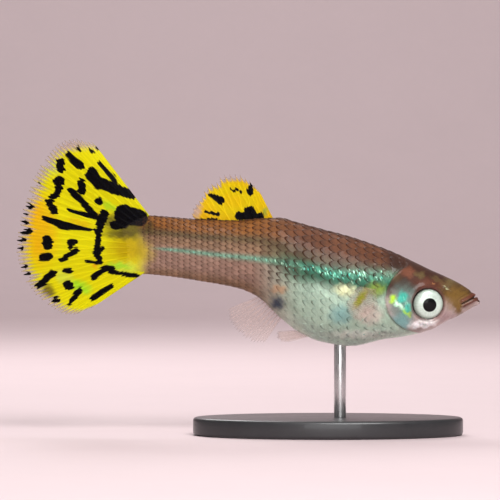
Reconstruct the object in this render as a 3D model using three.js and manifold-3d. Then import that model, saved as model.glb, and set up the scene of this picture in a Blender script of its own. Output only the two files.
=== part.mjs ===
// A female fancy guppy (Poecilia reticulata), life size, swimming with its head towards +X and
// slightly down, its right flank towards -Y. It is held over a flat oval base by one short rod.
// The flesh is one loft of named sections, parted by thin cuts into head, jaws, gill covers, trunk
// and tail stalk. Every fin is a tapering membrane whose rays are ridges raised in its own surface.
// Millimetres, +Z up. The origin is on the floor, under the middle of the whole model.

import * as THREE from "three";
import { mergeVertices } from "three/addons/utils/BufferGeometryUtils.js";
import Module from "manifold-3d";

const wasm = await Module();
wasm.setup();

// Driving dimensions. "behind" is measured from the snout tip towards the tail and "above" is
// measured up from the snout tip, so that every place on the fish reads as a pair of real sizes.
const SNOUT = { x: 23.25, z: 13.3 };
const GAP = 0.3;
const HALF_GAP = GAP / 2;

// How finely the round forms are divided, and lengths that reach clear of the fish or its jaws.
const SIDES = 28;
const RING_STEP = 0.95;
const HEAD_RING_STEP = 0.66;
const JAW_RING_STEP = 0.34;
const EYE_SIDES = 20;
const NOSTRIL_SIDES = 8;
const GILL_STEPS = 20;
const BIG = 40;
const FAR = 7;

// The pose: the stalk and tail fin swing gently to the fish's left, as they do in a slow stroke.
const SWAY = { startsBehind: 15, reach: 32, sideways: 2.0 };

const LEFT = 1;
const RIGHT = -1;

// Body sections: distance behind the snout, height of back and belly, half width, height of the
// widest place as a share of the depth, and how square the upper and lower halves are (2 is round).
const SECTIONS = [
  { behind: 0.0, top: 0.2, bottom: -0.25, half: 0.5, widest: 0.5, upper: 2.0, lower: 2.0 },
  { behind: 0.5, top: 0.86, bottom: -0.5, half: 1.0, widest: 0.5, upper: 2.3, lower: 2.0 },
  { behind: 1.8, top: 1.8, bottom: -1.25, half: 1.6, widest: 0.5, upper: 2.6, lower: 2.0 },
  { behind: 3.3, top: 2.55, bottom: -1.98, half: 2.1, widest: 0.5, upper: 2.8, lower: 2.5 },
  { behind: 4.9, top: 3.25, bottom: -2.8, half: 2.55, widest: 0.5, upper: 2.8, lower: 2.9 },
  { behind: 7.8, top: 4.65, bottom: -3.5, half: 3.05, widest: 0.48, upper: 2.5, lower: 2.6 },
  { behind: 9.4, top: 5.3, bottom: -3.7, half: 3.25, widest: 0.46, upper: 2.3, lower: 2.45 },
  { behind: 12.8, top: 6.5, bottom: -4.4, half: 3.6, widest: 0.42, upper: 2.1, lower: 2.3 },
  { behind: 15.8, top: 7.3, bottom: -3.95, half: 3.45, widest: 0.42, upper: 2.0, lower: 2.3 },
  { behind: 18.0, top: 7.9, bottom: -3.0, half: 3.0, widest: 0.44, upper: 2.0, lower: 2.2 },
  { behind: 20.0, top: 8.4, bottom: -1.4, half: 2.5, widest: 0.48, upper: 2.0, lower: 2.1 },
  { behind: 22.0, top: 8.35, bottom: 0.5, half: 2.05, widest: 0.5, upper: 2.0, lower: 2.0 },
  { behind: 24.0, top: 8.15, bottom: 1.4, half: 1.75, widest: 0.5, upper: 2.0, lower: 2.0 },
  { behind: 28.0, top: 8.25, bottom: 2.15, half: 1.3, widest: 0.5, upper: 2.1, lower: 2.1 },
  { behind: 31.0, top: 8.5, bottom: 2.6, half: 1.0, widest: 0.5, upper: 2.2, lower: 2.2 },
  { behind: 33.0, top: 8.65, bottom: 2.78, half: 0.74, widest: 0.5, upper: 2.3, lower: 2.3 },
  { behind: 34.0, top: 8.1, bottom: 3.35, half: 0.56, widest: 0.5, upper: 2.4, lower: 2.4 },
  { behind: 34.8, top: 6.9, bottom: 4.5, half: 0.44, widest: 0.5, upper: 2.4, lower: 2.4 },
];
const TAIL_END = 34.8;

// Where the flesh is parted.
const GILL_CUT = 9.55;
const STALK_CUT = { topBehind: 19.85, topAbove: 9.2, bottomBehind: 22.55, bottomAbove: -0.4 };

// The mouth is a slit that slants down and back from the front of the lips to its corner. The upper
// jaw is the strip above it, and the lower jaw ends at a cut from the corner down to the throat.
const MOUTH = { corner: [1.85, -0.22], slant: 0.5 };
const UPPER_JAW = { depth: 0.78, lipFront: [0.62, 0.78], lipCorner: [1.75, 0.1] };
const LOWER_JAW = { cutSlant: -1.12, lipFront: [0.14, 0.02], lipCorner: [1.7, -0.5] };
const LIP = { radius: 0.24, sides: 8, steps: 16, inset: 0.04 };
const JAWS_BEHIND = 3.6;

// Each eye looks a little forwards and down, and sits in a socket in a low swelling of the head.
const EYE = { behind: 4.9, above: -0.3, radius: 1.52, depth: 1.1, out: 1.75, yaw: 0.18, dip: 0.12 };
const SOCKET_SWELL = { radius: 2.35, depth: 1.12, out: 1.76 };
const NOSTRIL = { behind: 3.35, above: 1.45, radius: 0.2, depth: 0.7, facing: [0.35, 0.8, 0.5] };

// The gill cover is a curved plate in the side of the head, a little proud of it.
const GILL_COVER = { thickness: 0.45, proud: 0.15 };
const GILL_OUTLINE = [
  [8.3, 2.5],
  [9.1, 1.7],
  [9.35, 0.3],
  [9.05, -1.2],
  [8.2, -2.2],
  [7.0, -2.55],
  [6.85, -2.3],
  [7.5, -1.6],
  [7.8, -0.3],
  [7.7, 1.1],
  [7.6, 2.1],
];

// Fins. Half thicknesses of the membrane at its root, near its edge and at the very edge, then the
// height of a ray above the membrane at root and edge, and how far the edge dips between two rays.
const MEMBRANE = { root: 0.3, late: 0.25, edge: 0.12, lateFrom: 0.8 };
const RAY = { root: 0.13, edge: 0.07, forkFrom: 0.42, forkTo: 0.62 };
const SAMPLES_PER_RAY = 4;

const TAIL_FIN = {
  rays: 14,
  steps: 9,
  notch: 0.55,
  ripple: { height: 0.3, waves: 2.2 },
  root: [
    [32.9, 8.45],
    [34.0, 7.4],
    [34.45, 5.75],
    [34.0, 4.0],
    [32.9, 2.95],
  ],
  edge: [
    [38.7, 16.05],
    [40.9, 16.4],
    [42.9, 15.3],
    [45.1, 11.7],
    [46.5, 5.7],
    [45.5, 2.1],
    [43.3, -0.25],
    [41.0, -1.35],
    [38.7, -0.6],
  ],
};

const DORSAL_FIN = {
  rays: 8,
  steps: 6,
  notch: 0.35,
  ripple: { height: 0.16, waves: 1.3 },
  root: [
    [20.35, 8.1],
    [23.8, 7.85],
    [27.0, 7.85],
  ],
  edge: [
    [22.0, 11.3],
    [22.9, 12.2],
    [24.2, 12.85],
    [25.6, 12.7],
    [27.0, 11.8],
    [28.0, 10.5],
    [28.55, 9.4],
    [28.6, 8.75],
  ],
};

const ANAL_FIN = {
  rays: 6,
  steps: 5,
  notch: 0.25,
  ripple: { height: 0.1, waves: 1.0 },
  root: [
    [19.45, -1.45],
    [20.6, -0.35],
    [21.7, 0.6],
  ],
  edge: [
    [21.4, -4.1],
    [22.8, -3.95],
    [24.0, -3.1],
    [24.9, -1.9],
    [25.1, -0.7],
  ],
};

// Paired fins: behind, above, and out from the middle of the body.
const PECTORAL_FIN = {
  rays: 6,
  steps: 5,
  notch: 0.2,
  ripple: { height: 0, waves: 0 },
  root: [
    [9.95, 1.2, 2.9],
    [10.0, -0.05, 3.05],
  ],
  edge: [
    [12.2, 1.65, 4.9],
    [13.2, 0.75, 5.6],
    [13.5, -0.35, 5.85],
    [13.0, -1.4, 5.6],
    [12.1, -1.9, 5.1],
  ],
};

const PELVIC_FIN = {
  rays: 4,
  steps: 4,
  notch: 0.18,
  ripple: { height: 0, waves: 0 },
  root: [
    [16.3, -3.35, 0.95],
    [17.1, -2.95, 0.75],
  ],
  edge: [
    [19.2, -4.0, 1.75],
    [19.9, -3.85, 1.65],
    [20.3, -3.45, 1.45],
    [20.2, -2.95, 1.2],
  ],
};

// The display stand.
const STAND = { baseLength: 27, baseWidth: 15, baseHeight: 1.8, bevel: 0.35, x: 8.2 };
const ROD = { x: 9.4, radius: 0.65, sides: 16 };
const BASE_CURVE_STEPS = 24;

const COLOURS = {
  back: { color: 0x7d5a40, roughness: 0.45, metalness: 0.0 },
  flank: { color: 0x93a596, roughness: 0.38, metalness: 0.1 },
  stalk: { color: 0x9a7a66, roughness: 0.42, metalness: 0.0 },
  gill: { color: 0x8fb8a8, roughness: 0.3, metalness: 0.2 },
  lip: { color: 0x8a5646, roughness: 0.45, metalness: 0.0 },
  eye: { color: 0xdfe6df, roughness: 0.15, metalness: 0.1 },
  spottedFin: { color: 0xd8c81a, roughness: 0.4, metalness: 0.0 },
  clearFin: { color: 0xd0c4b4, roughness: 0.35, metalness: 0.0 },
  base: { color: 0x2c2a29, roughness: 0.4, metalness: 0.0 },
  rod: { color: 0xb9bcc0, roughness: 0.25, metalness: 1.0 },
};

const mix = THREE.MathUtils.lerp;
const smooth = THREE.MathUtils.smoothstep;

function placeOf([behind, above, out = 0], side = LEFT) {
  return new THREE.Vector3(SNOUT.x - behind, side * out, SNOUT.z + above);
}

// Smooth interpolation through the sections that never overshoots one of them.
function sectionAt(behind) {
  const last = SECTIONS.length - 1;
  let i = 0;
  while (i < last - 1 && SECTIONS[i + 1].behind < behind) i += 1;
  const [a, b] = [SECTIONS[i], SECTIONS[i + 1]];
  const span = b.behind - a.behind;
  const t = THREE.MathUtils.clamp((behind - a.behind) / span, 0, 1);
  const slope = (key, k) => {
    if (k <= 0 || k >= last) return 0;
    const [p, q, r] = [SECTIONS[k - 1], SECTIONS[k], SECTIONS[k + 1]];
    const before = (q[key] - p[key]) / (q.behind - p.behind);
    const after = (r[key] - q[key]) / (r.behind - q.behind);
    return before * after <= 0 ? 0 : (2 * before * after) / (before + after);
  };
  const endSlope = (key) => (b[key] - a[key]) / span;
  const section = { behind };
  for (const key of ["top", "bottom", "half", "widest", "upper", "lower"]) {
    const from = i === 0 ? endSlope(key) : slope(key, i);
    const to = i + 1 === last ? endSlope(key) : slope(key, i + 1);
    section[key] =
      a[key] * (1 + 2 * t) * (1 - t) ** 2 +
      b[key] * t * t * (3 - 2 * t) +
      span * (from * t * (1 - t) ** 2 + to * t * t * (t - 1));
  }
  return section;
}

// A point of the body's outline at one section. A quarter turn is the back.
function outlinePoint(section, turn, grow) {
  const c = Math.cos(turn);
  const s = Math.sin(turn);
  const level = mix(section.bottom, section.top, section.widest);
  const power = 2 / (s >= 0 ? section.upper : section.lower);
  const height = (s >= 0 ? section.top - level : level - section.bottom) + grow;
  const out = Math.sign(c) * Math.abs(c) ** power * (section.half + grow);
  const above = level + Math.sign(s) * Math.abs(s) ** power * height;
  return placeOf([section.behind, above, out]);
}

function closedGeometry(points, triangles) {
  const geometry = new THREE.BufferGeometry();
  const places = new Float32Array(points.flatMap((p) => [p.x, p.y, p.z]));
  geometry.setAttribute("position", new THREE.BufferAttribute(places, 3));
  geometry.setIndex(triangles.flat());
  return geometry;
}

function solidOf(geometry, matrix) {
  const bare = geometry.clone();
  bare.deleteAttribute("normal");
  bare.deleteAttribute("uv");
  if (matrix) bare.applyMatrix4(matrix);
  const merged = mergeVertices(bare, 1e-4);
  const triVerts = new Uint32Array(merged.index.array);
  const solid = new wasm.Manifold(
    new wasm.Mesh({ numProp: 3, vertProperties: merged.attributes.position.array, triVerts }),
  );
  if (solid.volume() > 0) return solid;
  for (let i = 0; i < triVerts.length; i += 3) {
    [triVerts[i + 1], triVerts[i + 2]] = [triVerts[i + 2], triVerts[i + 1]];
  }
  return new wasm.Manifold(
    new wasm.Mesh({ numProp: 3, vertProperties: merged.attributes.position.array, triVerts }),
  );
}

function largest(solid) {
  const pieces = solid.decompose();
  return pieces.reduce((best, piece) => (piece.volume() > best.volume() ? piece : best));
}

// The flesh between two distances behind the snout, with flat ends, grown outwards all round.
function flesh(from, to, { grow = 0, step = RING_STEP } = {}) {
  const count = Math.ceil((to - from) / step);
  const points = [];
  const triangles = [];
  for (let i = 0; i <= count; i += 1) {
    const section = sectionAt(mix(from, to, i / count));
    for (let k = 0; k < SIDES; k += 1) {
      points.push(outlinePoint(section, ((k + 0.5) / SIDES) * 2 * Math.PI, grow));
    }
  }
  const at = (i, k) => i * SIDES + (k % SIDES);
  for (let i = 0; i < count; i += 1) {
    for (let k = 0; k < SIDES; k += 1) {
      triangles.push([at(i, k), at(i, k + 1), at(i + 1, k)]);
      triangles.push([at(i, k + 1), at(i + 1, k + 1), at(i + 1, k)]);
    }
  }
  for (const i of [0, count]) {
    const middle = new THREE.Vector3();
    for (let k = 0; k < SIDES; k += 1) middle.addScaledVector(points[at(i, k)], 1 / SIDES);
    points.push(middle);
    const centre = points.length - 1;
    for (let k = 0; k < SIDES; k += 1) {
      const [p, q] = i === 0 ? [at(i, k + 1), at(i, k)] : [at(i, k), at(i, k + 1)];
      triangles.push([centre, p, q]);
    }
  }
  return solidOf(closedGeometry(points, triangles));
}

// A plane through the line between two places in side view, facing the tail or the head.
function trimmed(solid, [behindA, aboveA], [behindB, aboveB], keepTailSide, shift) {
  const a = placeOf([behindA, aboveA]);
  const along = placeOf([behindB, aboveB]).sub(a).normalize();
  const normal = new THREE.Vector3(-along.z, 0, along.x);
  if (normal.x > 0 === keepTailSide) normal.negate();
  return solid.trimByPlane(normal.toArray(), a.dot(normal) + shift);
}

// How far out the body's side is at one place in side view.
function outAt(behind, above) {
  const section = sectionAt(behind);
  const level = mix(section.bottom, section.top, section.widest);
  const isUpper = above >= level;
  const height = isUpper ? section.top - level : level - section.bottom;
  const power = isUpper ? section.upper : section.lower;
  const share = Math.min(1, Math.abs(above - level) / height);
  return section.half * (1 - share ** power) ** (1 / power);
}

function ellipsoid({ behind, above, out, radius, depth, yaw, dip }, side, grow) {
  const turn = new THREE.Quaternion().setFromEuler(new THREE.Euler(-side * dip, 0, -side * yaw));
  const size = new THREE.Vector3(radius + grow, depth + grow, radius + grow);
  const matrix = new THREE.Matrix4().compose(placeOf([behind, above, out], side), turn, size);
  return solidOf(new THREE.SphereGeometry(1, EYE_SIDES, Math.round(EYE_SIDES * 0.6)), matrix);
}

// A round pit, square to the skin that it opens in.
function nostril(side) {
  const { behind, above, radius, depth } = NOSTRIL;
  const [forward, sideways, up] = NOSTRIL.facing;
  const facing = new THREE.Vector3(forward, side * sideways, up).normalize();
  const turn = new THREE.Quaternion().setFromUnitVectors(new THREE.Vector3(0, 1, 0), facing);
  const place = placeOf([behind, above, outAt(behind, above)], side);
  const matrix = new THREE.Matrix4().compose(place, turn, new THREE.Vector3(1, 1, 1));
  return solidOf(new THREE.CylinderGeometry(radius, radius * 0.7, depth, NOSTRIL_SIDES), matrix);
}

// Places in side view, as [behind, above], near the mouth: so far forward along its slit from the
// corner, and so far above the slit.
const MOUTH_ANGLE = Math.atan(MOUTH.slant);

function nearMouth(forward, over) {
  const [behind, above] = MOUTH.corner;
  return [
    behind - forward * Math.cos(MOUTH_ANGLE) + over * Math.sin(MOUTH_ANGLE),
    above + forward * Math.sin(MOUTH_ANGLE) + over * Math.cos(MOUTH_ANGLE),
  ];
}

// A place so far down the cut at the back of the lower jaw, and so far behind that cut.
function nearThroat(down, back) {
  const [behind, above] = MOUTH.corner;
  const angle = Math.atan(-LOWER_JAW.cutSlant);
  return [
    behind + down * Math.cos(angle) + back * Math.sin(angle),
    above - down * Math.sin(angle) + back * Math.cos(angle),
  ];
}

// The whole width of the body inside an outline that is drawn in side view.
function slabAcross(outline) {
  const shape = new THREE.Shape(outline.map(([behind, above]) => new THREE.Vector2(behind, above)));
  const slab = new THREE.ExtrudeGeometry(shape, { depth: BIG, bevelEnabled: false });
  const upright = new THREE.Matrix4().makeBasis(
    new THREE.Vector3(-1, 0, 0),
    new THREE.Vector3(0, 0, 1),
    new THREE.Vector3(0, 1, 0),
  );
  upright.setPosition(SNOUT.x, -BIG / 2, SNOUT.z);
  return solidOf(slab, upright);
}

// A round lip along the edge of one jaw, from one corner of the mouth round the front to the other.
function lip({ lipFront, lipCorner }) {
  const path = [];
  for (let i = -LIP.steps / 2; i <= LIP.steps / 2; i += 1) {
    const turn = (i / LIP.steps) * Math.PI;
    const back = 1 - Math.cos(turn);
    const behind = mix(lipFront[0], lipCorner[0], back);
    const above = mix(lipFront[1], lipCorner[1], back);
    const round = Math.sign(turn) * Math.sqrt(Math.abs(Math.sin(turn)));
    path.push(placeOf([behind, above, round * (outAt(behind, above) - LIP.inset)]));
  }
  const section = new THREE.Shape();
  section.absarc(0, 0, LIP.radius, 0, 2 * Math.PI);
  const tube = new THREE.ExtrudeGeometry(section, {
    steps: LIP.steps,
    curveSegments: LIP.sides / 2,
    extrudePath: new THREE.CatmullRomCurve3(path),
    bevelEnabled: false,
  });
  return solidOf(tube);
}

function makeUpperJaw() {
  const { depth } = UPPER_JAW;
  const strip = slabAcross([
    nearMouth(0, HALF_GAP),
    nearMouth(FAR, HALF_GAP),
    nearMouth(FAR, depth),
    nearMouth(0, depth),
  ]);
  return largest(flesh(0, JAWS_BEHIND, { step: JAW_RING_STEP }).add(lip(UPPER_JAW)).intersect(strip));
}

function makeLowerJaw() {
  const region = slabAcross([
    nearMouth(0, -HALF_GAP),
    nearMouth(FAR, -HALF_GAP),
    nearThroat(FAR, -FAR),
    nearThroat(FAR, 0),
  ]);
  return largest(flesh(0, JAWS_BEHIND, { step: JAW_RING_STEP }).add(lip(LOWER_JAW)).intersect(region));
}

// The room that the jaws take out of the head, with the gap to them.
function jawRoom() {
  const upper = slabAcross([
    nearMouth(-GAP, -GAP),
    nearMouth(FAR, -GAP),
    nearMouth(FAR, UPPER_JAW.depth + GAP),
    nearMouth(-GAP, UPPER_JAW.depth + GAP),
  ]);
  const lower = slabAcross([
    nearThroat(-GAP, GAP),
    nearMouth(FAR, 0),
    nearThroat(FAR, -FAR),
    nearThroat(FAR, GAP),
  ]);
  return upper.add(lower);
}

function sideOnly(solid, side) {
  return solid.trimByPlane([0, side, 0], 0);
}

// The room inside the gill cover's outline, pushed out by some margin, on one side of the head.
function gillPrism(side, margin) {
  const points = GILL_OUTLINE.map(([behind, above]) => new THREE.Vector2(behind, above));
  const outline = new THREE.SplineCurve([...points, points[0]]).getPoints(GILL_STEPS).slice(0, -1);
  const grown = outline.map((p, i) => {
    const before = outline[(i + outline.length - 1) % outline.length];
    const after = outline[(i + 1) % outline.length];
    const along = after.clone().sub(before).normalize();
    return [p.x + along.y * -margin, p.y + along.x * margin];
  });
  return sideOnly(slabAcross(grown), side);
}

function gillShell(side, outward, inward) {
  const outer = flesh(5.5, 10.5, { grow: outward, step: HEAD_RING_STEP });
  const inner = flesh(5.2, 10.8, { grow: -inward, step: HEAD_RING_STEP });
  return sideOnly(outer.subtract(inner), side);
}

function gillCover(side) {
  const shell = gillShell(side, GILL_COVER.proud, GILL_COVER.thickness);
  return largest(shell.intersect(gillPrism(side, 0)));
}

function gillRecess(side) {
  const shell = gillShell(side, 1, GILL_COVER.thickness + GAP);
  return shell.intersect(gillPrism(side, GAP));
}

function makeHead() {
  let head = flesh(0, GILL_CUT - HALF_GAP, { step: HEAD_RING_STEP }).subtract(jawRoom());
  for (const side of [LEFT, RIGHT]) {
    head = head
      .add(ellipsoid({ ...EYE, ...SOCKET_SWELL }, side, 0))
      .subtract(ellipsoid(EYE, side, GAP))
      .subtract(nostril(side))
      .subtract(gillRecess(side));
  }
  return largest(head);
}

function makeTrunk() {
  const { topBehind, topAbove, bottomBehind, bottomAbove } = STALK_CUT;
  const whole = flesh(GILL_CUT + HALF_GAP, 24);
  const cut = trimmed(whole, [topBehind, topAbove], [bottomBehind, bottomAbove], false, HALF_GAP);
  return largest(cut);
}

function makeStalk() {
  const { topBehind, topAbove, bottomBehind, bottomAbove } = STALK_CUT;
  const whole = flesh(18.5, TAIL_END);
  const cut = trimmed(whole, [topBehind, topAbove], [bottomBehind, bottomAbove], true, HALF_GAP);
  return largest(cut);
}

// How far a ray stands up at one place across the fin. Past its fork each ray is two.
function rayHeight(phase, along) {
  const single = Math.max(0, Math.cos(phase * 2 * Math.PI));
  const forked = Math.max(0, -Math.cos(phase * 4 * Math.PI));
  return mix(single, forked, smooth(along, RAY.forkFrom, RAY.forkTo));
}

function membraneHalf(along) {
  return along < MEMBRANE.lateFrom
    ? mix(MEMBRANE.root, MEMBRANE.late, along / MEMBRANE.lateFrom)
    : mix(MEMBRANE.late, MEMBRANE.edge, (along - MEMBRANE.lateFrom) / (1 - MEMBRANE.lateFrom));
}

// A fin spread between its root line and its edge. Both faces are split into triangles alike.
function fin({ rays, steps, notch, ripple, root, edge }, side = LEFT) {
  const rootLine = new THREE.CatmullRomCurve3(root.map((p) => placeOf(p, side)));
  const edgeLine = new THREE.CatmullRomCurve3(edge.map((p) => placeOf(p, side)));
  const across = rays * SAMPLES_PER_RAY;
  const span = rootLine.getPointAt(1).sub(rootLine.getPointAt(0));
  const reach = edgeLine.getPointAt(0.5).sub(rootLine.getPointAt(0.5));
  const normal = new THREE.Vector3().crossVectors(reach, span).normalize();
  const points = [[], []];
  for (let i = 0; i <= across; i += 1) {
    const from = rootLine.getPointAt(i / across);
    const ray = edgeLine.getPointAt(i / across).sub(from);
    const phase = (i % SAMPLES_PER_RAY) / SAMPLES_PER_RAY;
    const dip = (notch * (1 - rayHeight(phase, 1))) / ray.length();
    for (let j = 0; j <= steps; j += 1) {
      const along = j / steps;
      const middle = from.clone().addScaledVector(ray, along * (1 - dip));
      const wave = ripple.height * along * Math.sin((i / across) * ripple.waves * 2 * Math.PI);
      const half = membraneHalf(along) + mix(RAY.root, RAY.edge, along) * rayHeight(phase, along);
      points[0].push(middle.clone().addScaledVector(normal, wave + half));
      points[1].push(middle.clone().addScaledVector(normal, wave - half));
    }
  }
  const row = steps + 1;
  const back = points[0].length;
  const at = (i, j) => i * row + j;
  const triangles = [];
  for (let i = 0; i < across; i += 1) {
    for (let j = 0; j < steps; j += 1) {
      const [a, b, c, d] = [at(i, j), at(i + 1, j), at(i + 1, j + 1), at(i, j + 1)];
      triangles.push([a, b, c], [a, c, d]);
      triangles.push([back + a, back + c, back + b], [back + a, back + d, back + c]);
    }
  }
  const rim = [];
  for (let i = 0; i < across; i += 1) rim.push([at(i, 0), at(i + 1, 0)]);
  for (let j = 0; j < steps; j += 1) rim.push([at(across, j), at(across, j + 1)]);
  for (let i = across; i > 0; i -= 1) rim.push([at(i, steps), at(i - 1, steps)]);
  for (let j = steps; j > 0; j -= 1) rim.push([at(0, j), at(0, j - 1)]);
  for (const [p, q] of rim) triangles.push([p, back + p, back + q], [p, back + q, q]);
  const whole = solidOf(closedGeometry(points.flat(), triangles));
  return largest(whole.subtract(flesh(0, TAIL_END, { grow: GAP })));
}

function standBase() {
  const shape = new THREE.Shape();
  const { baseLength, baseWidth, baseHeight, bevel } = STAND;
  shape.absellipse(0, 0, baseLength / 2 - bevel, baseWidth / 2 - bevel, 0, 2 * Math.PI);
  const geometry = new THREE.ExtrudeGeometry(shape, {
    depth: baseHeight - 2 * bevel,
    curveSegments: BASE_CURVE_STEPS,
    bevelThickness: bevel,
    bevelSize: bevel,
    bevelSegments: 2,
  });
  return solidOf(geometry, new THREE.Matrix4().makeTranslation(STAND.x, 0, bevel));
}

function standRod() {
  const foot = STAND.baseHeight + GAP;
  const top = SNOUT.z;
  const rod = new THREE.CylinderGeometry(ROD.radius, ROD.radius, top - foot, ROD.sides);
  rod.rotateX(Math.PI / 2);
  const whole = solidOf(rod, new THREE.Matrix4().makeTranslation(ROD.x, 0, (top + foot) / 2));
  return largest(whole.subtract(flesh(0, TAIL_END, { grow: GAP })));
}

// Sideways shift of everything at one place along the fish.
function swayAt(x) {
  const share = Math.max(0, SNOUT.x - x - SWAY.startsBehind) / SWAY.reach;
  return SWAY.sideways * share * share;
}

function meshOf(name, solid, { color, roughness, metalness }, swings = true) {
  const { vertProperties, triVerts, numProp } = solid.getMesh();
  const places = new Float32Array((vertProperties.length / numProp) * 3);
  for (let i = 0; i < places.length / 3; i += 1) {
    const [x, y, z] = vertProperties.subarray(i * numProp, i * numProp + 3);
    places.set([x, swings ? y + swayAt(x) : y, z], i * 3);
  }
  const geometry = new THREE.BufferGeometry();
  geometry.setAttribute("position", new THREE.BufferAttribute(places, 3));
  geometry.setIndex(new THREE.BufferAttribute(triVerts, 1));
  geometry.computeVertexNormals();
  const material = new THREE.MeshStandardMaterial({ color, roughness, metalness });
  const mesh = new THREE.Mesh(geometry, material);
  mesh.name = name;
  return mesh;
}

const guppy = new THREE.Group();
guppy.add(
  meshOf("head", makeHead(), COLOURS.back),
  meshOf("upper_jaw", makeUpperJaw(), COLOURS.lip),
  meshOf("lower_jaw", makeLowerJaw(), COLOURS.lip),
  meshOf("trunk", makeTrunk(), COLOURS.flank),
  meshOf("tail_stalk", makeStalk(), COLOURS.stalk),
  meshOf("tail_fin", fin(TAIL_FIN), COLOURS.spottedFin),
  meshOf("dorsal_fin", fin(DORSAL_FIN), COLOURS.spottedFin),
  meshOf("anal_fin", fin(ANAL_FIN), COLOURS.clearFin),
);
for (const [word, side] of [
  ["left", LEFT],
  ["right", RIGHT],
]) {
  guppy.add(
    meshOf(`eye_${word}`, ellipsoid(EYE, side, 0), COLOURS.eye),
    meshOf(`gill_cover_${word}`, gillCover(side), COLOURS.gill),
    meshOf(`pectoral_fin_${word}`, fin(PECTORAL_FIN, side), COLOURS.clearFin),
    meshOf(`pelvic_fin_${word}`, fin(PELVIC_FIN, side), COLOURS.clearFin),
  );
}

const stand = new THREE.Group();
stand.add(
  meshOf("stand_base", standBase(), COLOURS.base, false),
  meshOf("stand_rod", standRod(), COLOURS.rod, false),
);
guppy.add(stand);

export default guppy;
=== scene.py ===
"""Looks of a life-size female fancy guppy on a display stand.

One skin covers the flesh, scale plates lie over it, and each fin is a thin sheet with raised,
branching rays. Sizes are in millimetres and places are given as (behind the snout tip, above it),
as a fish is measured. The whole stands head to +X with its right flank towards the camera.
"""

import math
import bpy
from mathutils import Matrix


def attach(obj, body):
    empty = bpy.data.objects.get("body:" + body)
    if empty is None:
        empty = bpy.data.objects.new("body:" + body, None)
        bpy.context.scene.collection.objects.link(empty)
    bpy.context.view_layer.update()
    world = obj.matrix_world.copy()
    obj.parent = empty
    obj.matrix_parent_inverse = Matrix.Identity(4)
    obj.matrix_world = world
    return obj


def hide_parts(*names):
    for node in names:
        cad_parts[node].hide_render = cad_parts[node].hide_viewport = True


bl_info = {
    "name": "Fancy guppy",
    "version": (1, 0, 0),
    "blender": (4, 5, 0),
    "location": "3D View > Sidebar > Guppy",
    "description": "Skin, scales, eyes, fins and display stand of a female fancy guppy",
    "category": "Object",
}

import bpy
import numpy as np
from mathutils import Vector

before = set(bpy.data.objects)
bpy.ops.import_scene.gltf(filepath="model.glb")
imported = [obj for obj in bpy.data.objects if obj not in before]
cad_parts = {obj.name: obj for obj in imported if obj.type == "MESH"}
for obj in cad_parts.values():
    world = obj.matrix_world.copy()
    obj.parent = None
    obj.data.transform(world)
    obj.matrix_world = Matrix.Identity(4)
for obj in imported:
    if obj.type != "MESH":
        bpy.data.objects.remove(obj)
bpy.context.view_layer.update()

MM = 0.001
SNOUT_X = 23.25
SNOUT_Z = 13.3
RIGHT = -1
LEFT = 1
SIDE_NAMES = {RIGHT: "right", LEFT: "left"}

# Pose: the stalk and tail fin swing gently to the fish's left.
SWAY_STARTS = 15.0
SWAY_REACH = 32.0
SWAY_SIDEWAYS = 2.0

# Body sections: behind, back, belly, half width, height of the widest place as a share of the depth,
# and how square the upper and lower halves are.
SECTIONS = np.array([
    (0.0, 0.2, -0.25, 0.5, 0.5, 2.0, 2.0),
    (0.5, 0.86, -0.5, 1.0, 0.5, 2.3, 2.0),
    (1.8, 1.8, -1.25, 1.6, 0.5, 2.6, 2.0),
    (3.3, 2.55, -1.98, 2.1, 0.5, 2.8, 2.5),
    (4.9, 3.25, -2.8, 2.55, 0.5, 2.8, 2.9),
    (7.8, 4.65, -3.5, 3.05, 0.48, 2.5, 2.6),
    (9.4, 5.3, -3.7, 3.25, 0.46, 2.3, 2.45),
    (12.8, 6.5, -4.4, 3.6, 0.42, 2.1, 2.3),
    (15.8, 7.3, -3.95, 3.45, 0.42, 2.0, 2.3),
    (18.0, 7.9, -3.0, 3.0, 0.44, 2.0, 2.2),
    (20.0, 8.4, -1.4, 2.5, 0.48, 2.0, 2.1),
    (22.0, 8.35, 0.5, 2.05, 0.5, 2.0, 2.0),
    (24.0, 8.15, 1.4, 1.75, 0.5, 2.0, 2.0),
    (28.0, 8.25, 2.15, 1.3, 0.5, 2.1, 2.1),
    (31.0, 8.5, 2.6, 0.92, 0.5, 2.2, 2.2),
    (33.0, 8.65, 2.78, 0.5, 0.5, 2.1, 2.1),
    (34.0, 8.7, 2.8, 0.29, 0.5, 2.0, 2.0),
    (35.0, 8.3, 3.2, 0.16, 0.5, 2.0, 2.0),
    (35.9, 7.4, 4.1, 0.07, 0.5, 2.0, 2.0),
])
TAIL_END = 35.9
NORMAL_STEP = 0.03

# Head: the eye, the nostril, the mouth's slit and the free edge of the gill cover.
EYE = {"behind": 5.2, "above": -0.15, "out": 1.74, "radius": 1.6, "depth": 1.12, "yaw": 0.18, "dip": 0.12}
PUPIL_RADIUS = 0.69
IRIS_RADIUS = 1.53
IRIS_FLATNESS = 0.22
IRIS_FLAT_SPAN = (1.5, 0.7)
CORNEA_RISE = 0.1
CORNEA_SPAN = (1.3, 0.4)
BACK_OF_EYE = 9.0
NOSTRIL = (3.35, 1.45)
MOUTH_CORNER = (1.85, -0.22)
MOUTH_ANGLE = math.atan(0.5)
NOSTRIL_FLATNESS = 1.3
SOCKET_DEPTH = 1.1
SOCKET_SLOPE = 0.16
GILL_PLATE_RISE = 0.17
GILL_PLATE_FALL = 1.1

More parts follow.
